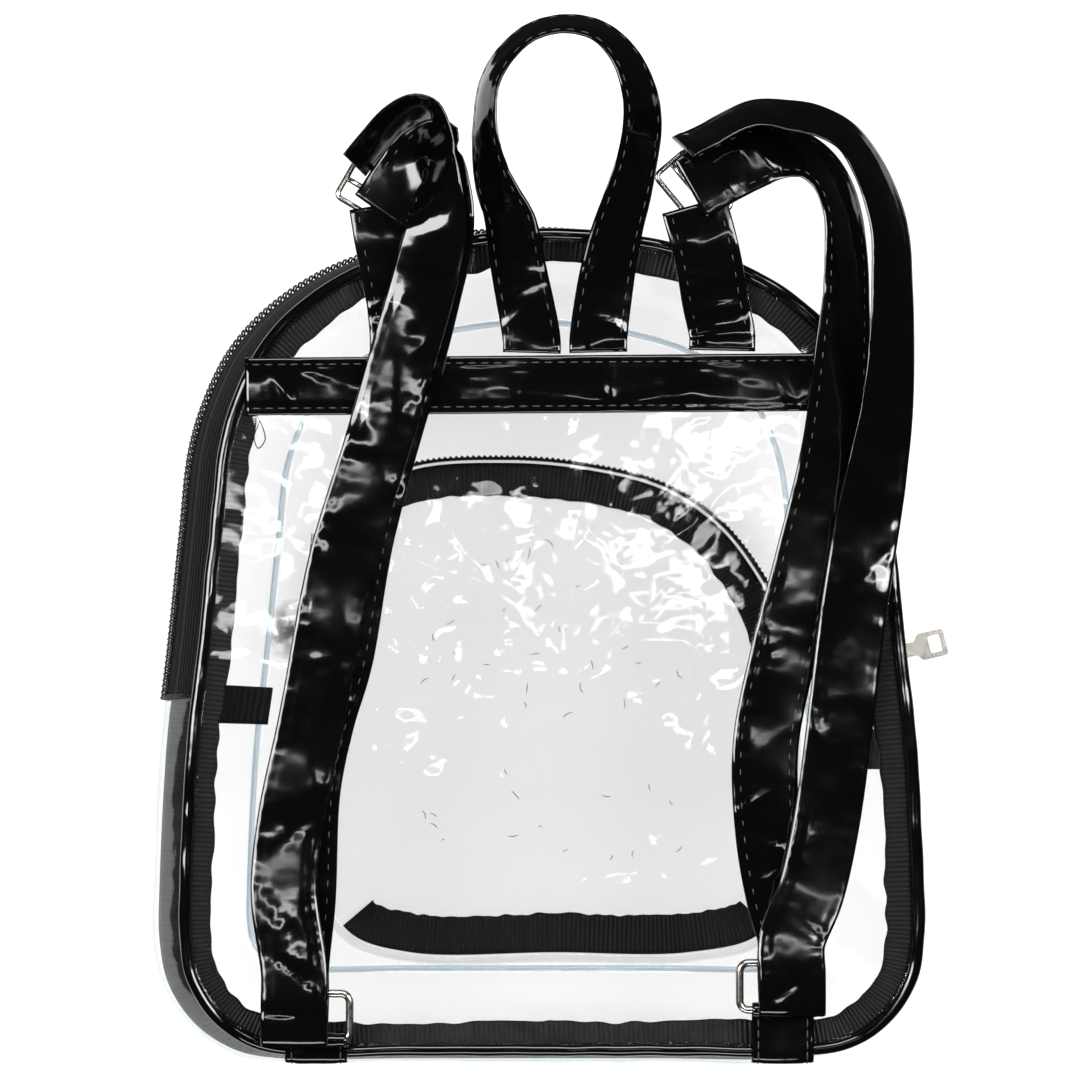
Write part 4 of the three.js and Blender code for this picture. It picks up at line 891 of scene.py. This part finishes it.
ANCHOR_CREASES = {
    "left": ((10, 3, 96, 20, 1.6, 0.5), (20, -5, 70, 14, 1.4, 0.4), (32, 4, 50, 16, 1.4, 0.4)),
    "right": (
        (6, 0, 92, 22, 1.2, 0.7), (11, 2, 84, 22, 1.2, -0.6), (16, -2, 96, 20, 1.2, 0.7),
        (22, 3, 80, 18, 1.3, -0.5), (28, -4, 104, 18, 1.3, 0.5), (40, 3, 60, 16, 1.4, 0.35),
    ),
}
BAND_CREASES = (
    (14, 2, 66, 16, 2.0, 0.4), (30, -4, 20, 26, 1.2, 0.4), (58, 3, 8, 40, 1.0, 0.35),
    (88, -5, 172, 50, 1.0, 0.4), (112, 4, 10, 44, 1.1, 0.4), (132, -3, 84, 16, 1.6, 0.3),
    (150, 5, 168, 44, 1.1, 0.4), (176, -4, 14, 36, 1.2, 0.45), (196, 3, 60, 18, 1.8, 0.4),
    (210, -2, 112, 18, 1.8, 0.45),
)
HANDLE_CREASES = (
    (14, -4, 60, 16, 1.3, 0.5), (24, 2, 74, 20, 1.4, 0.6), (34, -3, 112, 18, 1.3, -0.6),
    (43, 3, 66, 20, 1.5, 0.7), (54, -2, 100, 20, 1.4, -0.5), (64, 4, 48, 22, 1.4, 0.6),
    (78, -3, 128, 20, 1.5, 0.4), (110, 3, 22, 30, 1.2, 0.3), (190, -3, 158, 34, 1.2, 0.3),
    (240, 2, 70, 18, 1.6, 0.4), (262, -3, 108, 18, 1.5, 0.5), (278, 3, 62, 18, 1.4, 0.5),
    (294, -3, 84, 16, 1.4, 0.4),
)


def strap_relief(seed, run_length, folds):
    """Long soft waves, a few seeded shallow dents, the folds of a table and a pinch at each stitch."""
    dents = scattered_creases(seed, int(run_length / 26), (0, run_length, -11, 11), 74, 34, (14, 30),
                              (2.5, 5.0), (0.06, 0.22))

    def relief(along, across):
        soft = 0.3 * waves(along, across * 0.6, seed + 1, 60) + 0.07 * waves(along, across, seed + 2, 22)
        seam = np.exp(-((np.abs(across) - 9) / 1.3) ** 2)
        pinch = 0.05 * np.cos(2 * np.pi * along / STITCH_PITCH) * seam
        folded = soft_folds(along, across, folds) + soft_folds(along, across, dents)
        return soft + np.clip(folded, -0.6, 0.7) + pinch

    return relief


def strap_rows(rows):
    return [(a * PANEL_WIDTH / 2, u * PANEL_HEIGHT / 2, BACK_FACE + lift * STRAP_LIFT, b, t)
            for a, u, lift, b, t in rows]


def ring_rows(x, ring_y):
    """Where the strap climbs through the ring, folds over the lower bar and turns back."""
    reach = RING_SIZE[1] / 2 - WIRE
    over = WIRE + 0.3 + TAB_THICKNESS + 0.3 + 0.9
    fold = 1.26
    route = (
        (2 * reach, SEWN_LEVEL), (reach + 1, SEWN_LEVEL), (reach * 0.6, SEWN_LEVEL + 0.6),
        (0, RING_LEVEL - 0.5), (-reach * 0.6, RING_LEVEL + over * 0.75), (-reach * 0.92, RING_LEVEL + over),
        (-reach - fold, RING_LEVEL + over + fold), (-reach * 0.92, RING_LEVEL + over + 2 * fold),
        (-reach * 0.4, RING_LEVEL + over + 2.1 * fold), (reach * 0.6, RING_LEVEL + over + 1.9 * fold),
        (2 * reach, RING_LEVEL + over + fold),
    )
    return [(x, ring_y + y, z, -180, 0) for y, z in route]


def make_band():
    half = 112.0
    rows = [(x, BAND_LEVEL + BAND_RISE * x / (PANEL_WIDTH / 2), BACK_FACE + 0.3 + 0.9, -90, 0)
            for x in np.linspace(-half + 1, half - 3, 9)]
    relief = strap_relief(50, 2 * half, BAND_CREASES)
    lifted = lambda along, across: np.clip(1.4 * relief(along, across), -0.25, 0.8)
    strip_piece("back_band_strip", Strip(rows, BAND_WIDTH, 8, lifted, channel=2.6), "patent", "back_band",
                pitch=4.6)


def make_handle():
    rows = []
    for across, up, lift, bearing, tilt in HANDLE_ROWS:
        x = HANDLE_X + across * HANDLE_SPREAD
        rows.append((x, band_edge(x) + up * HANDLE_REACH, SEWN_LEVEL + lift * HANDLE_LIFT, bearing, tilt))
    strip_piece("carry_handle",
                Strip(rows, HANDLE_WIDTH, 12, strap_relief(55, 320, HANDLE_CREASES), channel=2.6), "patent",
                "handle", both=True)


def make_anchor(name, side):
    foot = side["foot"]
    start = band_edge(foot) + 0.3
    rows = [(foot, start, SEWN_LEVEL, 0, 0), (foot, start + 6, SEWN_LEVEL, 0, 0), *strap_rows(side["anchor"])]
    relief = strap_relief(side["seed"] + 5, 70, ANCHOR_CREASES[name])
    lifted = lambda along, across: np.clip(relief(along, across), -0.2, 0.6)
    strip_piece(f"anchor_strip_{name}", Strip(rows, STRAP_WIDTH, 14, lifted), "patent", f"anchor_{name}",
                start=3, end=3)


def make_strap(name, side):
    rows = [*strap_rows(side["lower"]), *ring_rows(side["strap_x"], side["ring"][1]),
            *reversed(strap_rows(side["upper"]))]
    strip_piece(f"shoulder_strap_{name}",
                Strip(rows, STRAP_WIDTH, 12, strap_relief(side["seed"], 740, STRAP_CREASES[name])),
                "patent", f"strap_{name}")


def rounded(width, height, corner, per_corner=8):
    points = []
    for sx, sy, first in ((1, -1, -90), (1, 1, 0), (-1, 1, 90), (-1, -1, 180)):
        for degrees in np.linspace(first, first + 90, per_corner):
            turn = np.radians(degrees)
            points.append((sx * (width / 2 - corner) + corner * np.cos(turn),
                           sy * (height / 2 - corner) + corner * np.sin(turn)))
    return np.array(points)


def make_ring(name, side):
    wire = rounded(RING_SIZE[0] - 2 * WIRE, RING_SIZE[1] - 2 * WIRE, 3.2, 9)
    path = np.column_stack([wire + side["ring"], np.full(len(wire), RING_LEVEL)])
    path = np.vstack([path[i] + (path[(i + 1) % len(path)] - path[i]) * share
                      for i in range(len(path)) for share in (0, 0.5)])
    swept_piece(f"wire_ring_{name}", tube(path, WIRE * 0.97, 14, True), True, [NICKEL],
                [f"ring_{name}"])


def make_slide(name, side):
    """A cast frame with a middle bar, its edges rounded."""
    x, y, bearing = side["slide"]
    bar = 1.05
    rim = rounded(SLIDE_SIZE[0] - 2 * bar, SLIDE_SIZE[1] - 2 * bar, 2.2, 6)
    reach = np.linspace(-1, 1, 7) * (SLIDE_SIZE[1] / 2 - bar) * (SLIDE_SIZE[0] / SLIDE_SIZE[1])
    middle = np.column_stack([reach, np.zeros(7)])
    turn = np.radians(bearing)
    facing = np.array(((np.cos(turn), np.sin(turn)), (-np.sin(turn), np.cos(turn))))
    parts = []
    for path, closed in ((rim, True), (middle, False)):
        spots = np.column_stack([path @ facing + (x, y), np.full(len(path), SLIDE_LEVEL)])
        parts.append(sweep(tube(spots, bar, 12, closed), closed)[:2])
    points, faces = joined(parts)
    add_piece(f"slide_frame_{name}", points, faces, [NICKEL], [f"slide_{name}"])


def make_ring_tab(name, side):
    """A folded strip round the ring's lower bar, sewn down over the bottom seam."""
    x, ring_y = side["ring"][0] + side["tab"], side["ring"][1]
    bar_y = ring_y - (RING_SIZE[1] / 2 - WIRE)
    hug = WIRE + 0.3 + TAB_THICKNESS / 2
    seam_y = -PANEL_HEIGHT / 2 - 0.75 - TAB_THICKNESS
    rows = [(x, seam_y, BACK_PLANE - 0.4, 0, 0), (x, seam_y, RING_LEVEL - hug - 1.0, 0, 0),
            (x, seam_y + 1.2, RING_LEVEL - hug, 0, 0), (x, (seam_y + bar_y) / 2, RING_LEVEL - hug, 0, 0)]
    for degrees in np.linspace(-90, 150, 9):
        angle = np.radians(degrees)
        rows.append((x, bar_y + hug * np.cos(angle), RING_LEVEL + hug * np.sin(angle), 0, 0))
    relief = lambda along, across: 0.12 * waves(along, across, side["seed"] + 9, 9)
    strip_piece(f"ring_tab_strip_{name}", Strip(rows, TAB_WIDTH, 6, relief, thickness=1.0, channel=2.4),
                "patent", f"ring_tab_{name}", pitch=4.0, start=1.5, end=8)


# Front pocket

def make_pocket():
    right = POCKET_LINE.share_at(-16, 1)
    left = POCKET_LINE.share_at(0, -1)
    rim = lambda shares, out: POCKET_LINE.at(shares) + POCKET_LINE.normal(shares) * out
    sheet_disc("pocket_film", rim, -0.2, 0.35, FILM, pocket_relief, [CLEAR_VINYL],
               ["pocket_panel"], rings=40, around=200)

    def band(name, low, high, out, thickness, first, last, finish, replaced, steps=150, wave=0.0):
        shares = np.linspace(first, last, steps)
        run = (shares - first) * POCKET_LINE.length
        levels = np.linspace(low, high, 8)
        push = wave * waves(run[:, None], levels[None] * 2, 90, 30)
        outer = pocket_place(shares[:, None], out + push, levels[None])
        inner = pocket_place(shares[:, None], out - thickness + push, levels[None])
        sections = np.concatenate([outer, inner[:, ::-1]], axis=1)
        across = np.concatenate([levels, levels[::-1], levels[:1]])
        swept_piece(name, sections, False, [finish], replaced, run, across)

    seam = 0.3 / POCKET_LINE.length
    band("pocket_side_film", 1.0, 17.6, 0, FILM, left + seam - 1, right - seam, CLEAR_VINYL,
         ["pocket_wall"], wave=0.3)
    band("pocket_tape_low", 1.0, 8.6, 0, 0.8, right, left, TAPE, ["pocket_tape_front"])
    band("pocket_tape_high", 10.4, 17.6, 0, 0.8, right, left, TAPE, ["pocket_tape_back"])
    turns = int((left - right) * POCKET_LINE.length / COIL_PITCH)
    step = np.arange(turns * 8 + 1) / 8
    share = right + (left - right) * step / turns
    turn = 2 * np.pi * step
    path = pocket_place(share, -0.1 + 0.7 * np.sin(turn), 9.5 + 1.5 * np.cos(turn))
    swept_piece("pocket_coil", tube(path, 0.4, 5, False), False, [COIL], ["pocket_teeth"])

    def leaf(name, width, first, last, seed, replaced, steps=230):
        """A ribbed strip that lies flat inside the pocket seam, its inner edge uneven."""
        shares = np.linspace(first, last, steps)
        run = (shares - first) * POCKET_LINE.length
        uneven = 0.8 * ripple(run, seed, 30) + 0.7 * ripple(run, seed + 1, 9)
        across = np.linspace(0, 1, 9)
        out = -1.9 - (width + uneven)[:, None] * across[None]
        curl = 1.7 + 0.5 * across[None] * (1.2 + ripple(run, seed + 2, 16))[:, None]
        top = pocket_place(shares[:, None], out, curl + 0.6)
        low = pocket_place(shares[:, None], out, curl)
        sections = np.concatenate([top, low[:, ::-1]], axis=1)
        swept_piece(name, sections, False, [BINDING], replaced, run,
                    np.concatenate([across, across[::-1], across[:1]]) * width)

    leaf("pocket_top_binding", 13, right, left, 101, ["pocket_ribbon"])
    leaf("pocket_bottom_binding", 15, -0.13, 0.13, 105, ["pocket_hem"])


def make_litter():
    """What has got into the bag: short hairs, a loop of thread and a white crumb."""
    rng = np.random.default_rng(140)
    parts = []
    for _ in range(42):
        x, y = rng.uniform(-56, 52), rng.uniform(-92, 34)
        bend, turn, reach = rng.uniform(-1.6, 1.6), rng.uniform(0, 6.28), rng.uniform(1.5, 5)
        at = np.linspace(0, 1, 7)
        heading = turn + bend * at
        path = np.column_stack([x + np.cumsum(np.cos(heading)) * reach / 7,
                                y + np.cumsum(np.sin(heading)) * reach / 7, np.full(7, 4.4)])
        parts.append(sweep(tube(path, 0.15, 5, False), False)[:2])
    points, faces = joined(parts)
    add_piece("hairs_in_the_pocket", points, faces, [THREAD])
    loop = spline([(-113, 88, 62), (-108, 80, 64), (-106.5, 74, 66), (-109, 71, 66), (-110.5, 75, 66),
                   (-108.5, 81, 65)], False, 6)
    points, faces = sweep(tube(loop, 0.22, 6, False), False)[:2]
    add_piece("loop_of_thread", points, faces, [THREAD])
    crumb = tube(np.array([(-17.5, 6.4, z) for z in (2.4, 2.9, 3.6, 4.1)]), np.array([0.3, 1.1, 1.1, 0.3]),
                 10, False)
    points, faces = sweep(crumb, False)[:2]
    add_piece("white_crumb", points, faces, [CRUMB])


def finish_hardware():
    for name in ("zip_slider", "zip_pull", "pocket_slider"):
        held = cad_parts[name]
        for spot in held.material_slots:
            spot.material = NICKEL


def make_stage():
    left, right, low, high = -300, 300, -300, 262
    mesh = bpy.data.meshes.new("floor")
    corners = [(left, low, -0.2), (right, low, -0.2), (right, high, -0.2), (left, high, -0.2)]
    mesh.from_pydata([tuple(v / 1000 for v in c) for c in corners], [], [(0, 1, 2, 3)])
    mesh.materials.append(painted_floor())
    floor = bpy.data.objects.new("floor", mesh)
    bpy.context.scene.collection.objects.link(floor)

    # name, place in metres, width, height, watts
    softboxes = (
        ("softbox_left", (-0.95, 0.15, 1.25), 0.5, 1.0, 42),
        ("softbox_right", (0.95, 0.3, 1.3), 0.5, 1.0, 42),
        ("softbox_top", (0.1, 1.15, 1.2), 1.0, 0.35, 26),
        ("softbox_low", (-0.2, -1.1, 0.9), 0.9, 0.3, 12),
        ("strip_left", (-0.5, 0.05, 1.3), 0.04, 0.8, 1.8),
        ("strip_right", (0.44, 0.05, 1.3), 0.04, 0.8, 1.8),
        ("strip_top", (0.0, 0.68, 1.3), 0.7, 0.04, 1.0),
    )
    for name, where, width, height, watts in softboxes:
        light = bpy.data.lights.new(name, "AREA")
        light.shape = "RECTANGLE"
        light.size, light.size_y = width, height
        light.energy = watts
        lamp = bpy.data.objects.new(name, light)
        bpy.context.scene.collection.objects.link(lamp)
        lamp.location = where
        aim = np.array((0, 0.03, 0.05)) - np.array(where)
        lamp.rotation_mode = "QUATERNION"
        lamp.rotation_quaternion = Vector(aim).to_track_quat("-Z", "Y")

    world = bpy.data.worlds.new("studio")
    world.use_nodes = True
    world.node_tree.nodes["Background"].inputs["Color"].default_value = linear("#ffffff")
    world.node_tree.nodes["Background"].inputs["Strength"].default_value = 0.03
    bpy.context.scene.world = world
    bpy.context.scene.view_settings.view_transform = "Standard"
    # clear film lies in many layers, so light is let through more of them
    bpy.context.scene.cycles.transparent_max_bounces = 32

    lens = bpy.data.cameras.new("camera")
    lens.sensor_width = 36
    lens.lens = 110.4
    lens.clip_end = 10
    camera = bpy.data.objects.new("camera", lens)
    bpy.context.scene.collection.objects.link(camera)
    camera.location = (-0.00435, 0.03695, 1.296)
    bpy.context.scene.camera = camera


make_stage()
make_shell()
make_zip()
make_binding()
make_band()
make_handle()
for side_name, side_rows in SIDES.items():
    make_anchor(side_name, side_rows)
    make_strap(side_name, side_rows)
    make_slide(side_name, side_rows)
    make_ring(side_name, side_rows)
    make_ring_tab(side_name, side_rows)
make_pocket()
make_litter()
finish_hardware()

bpy.context.view_layer.update()
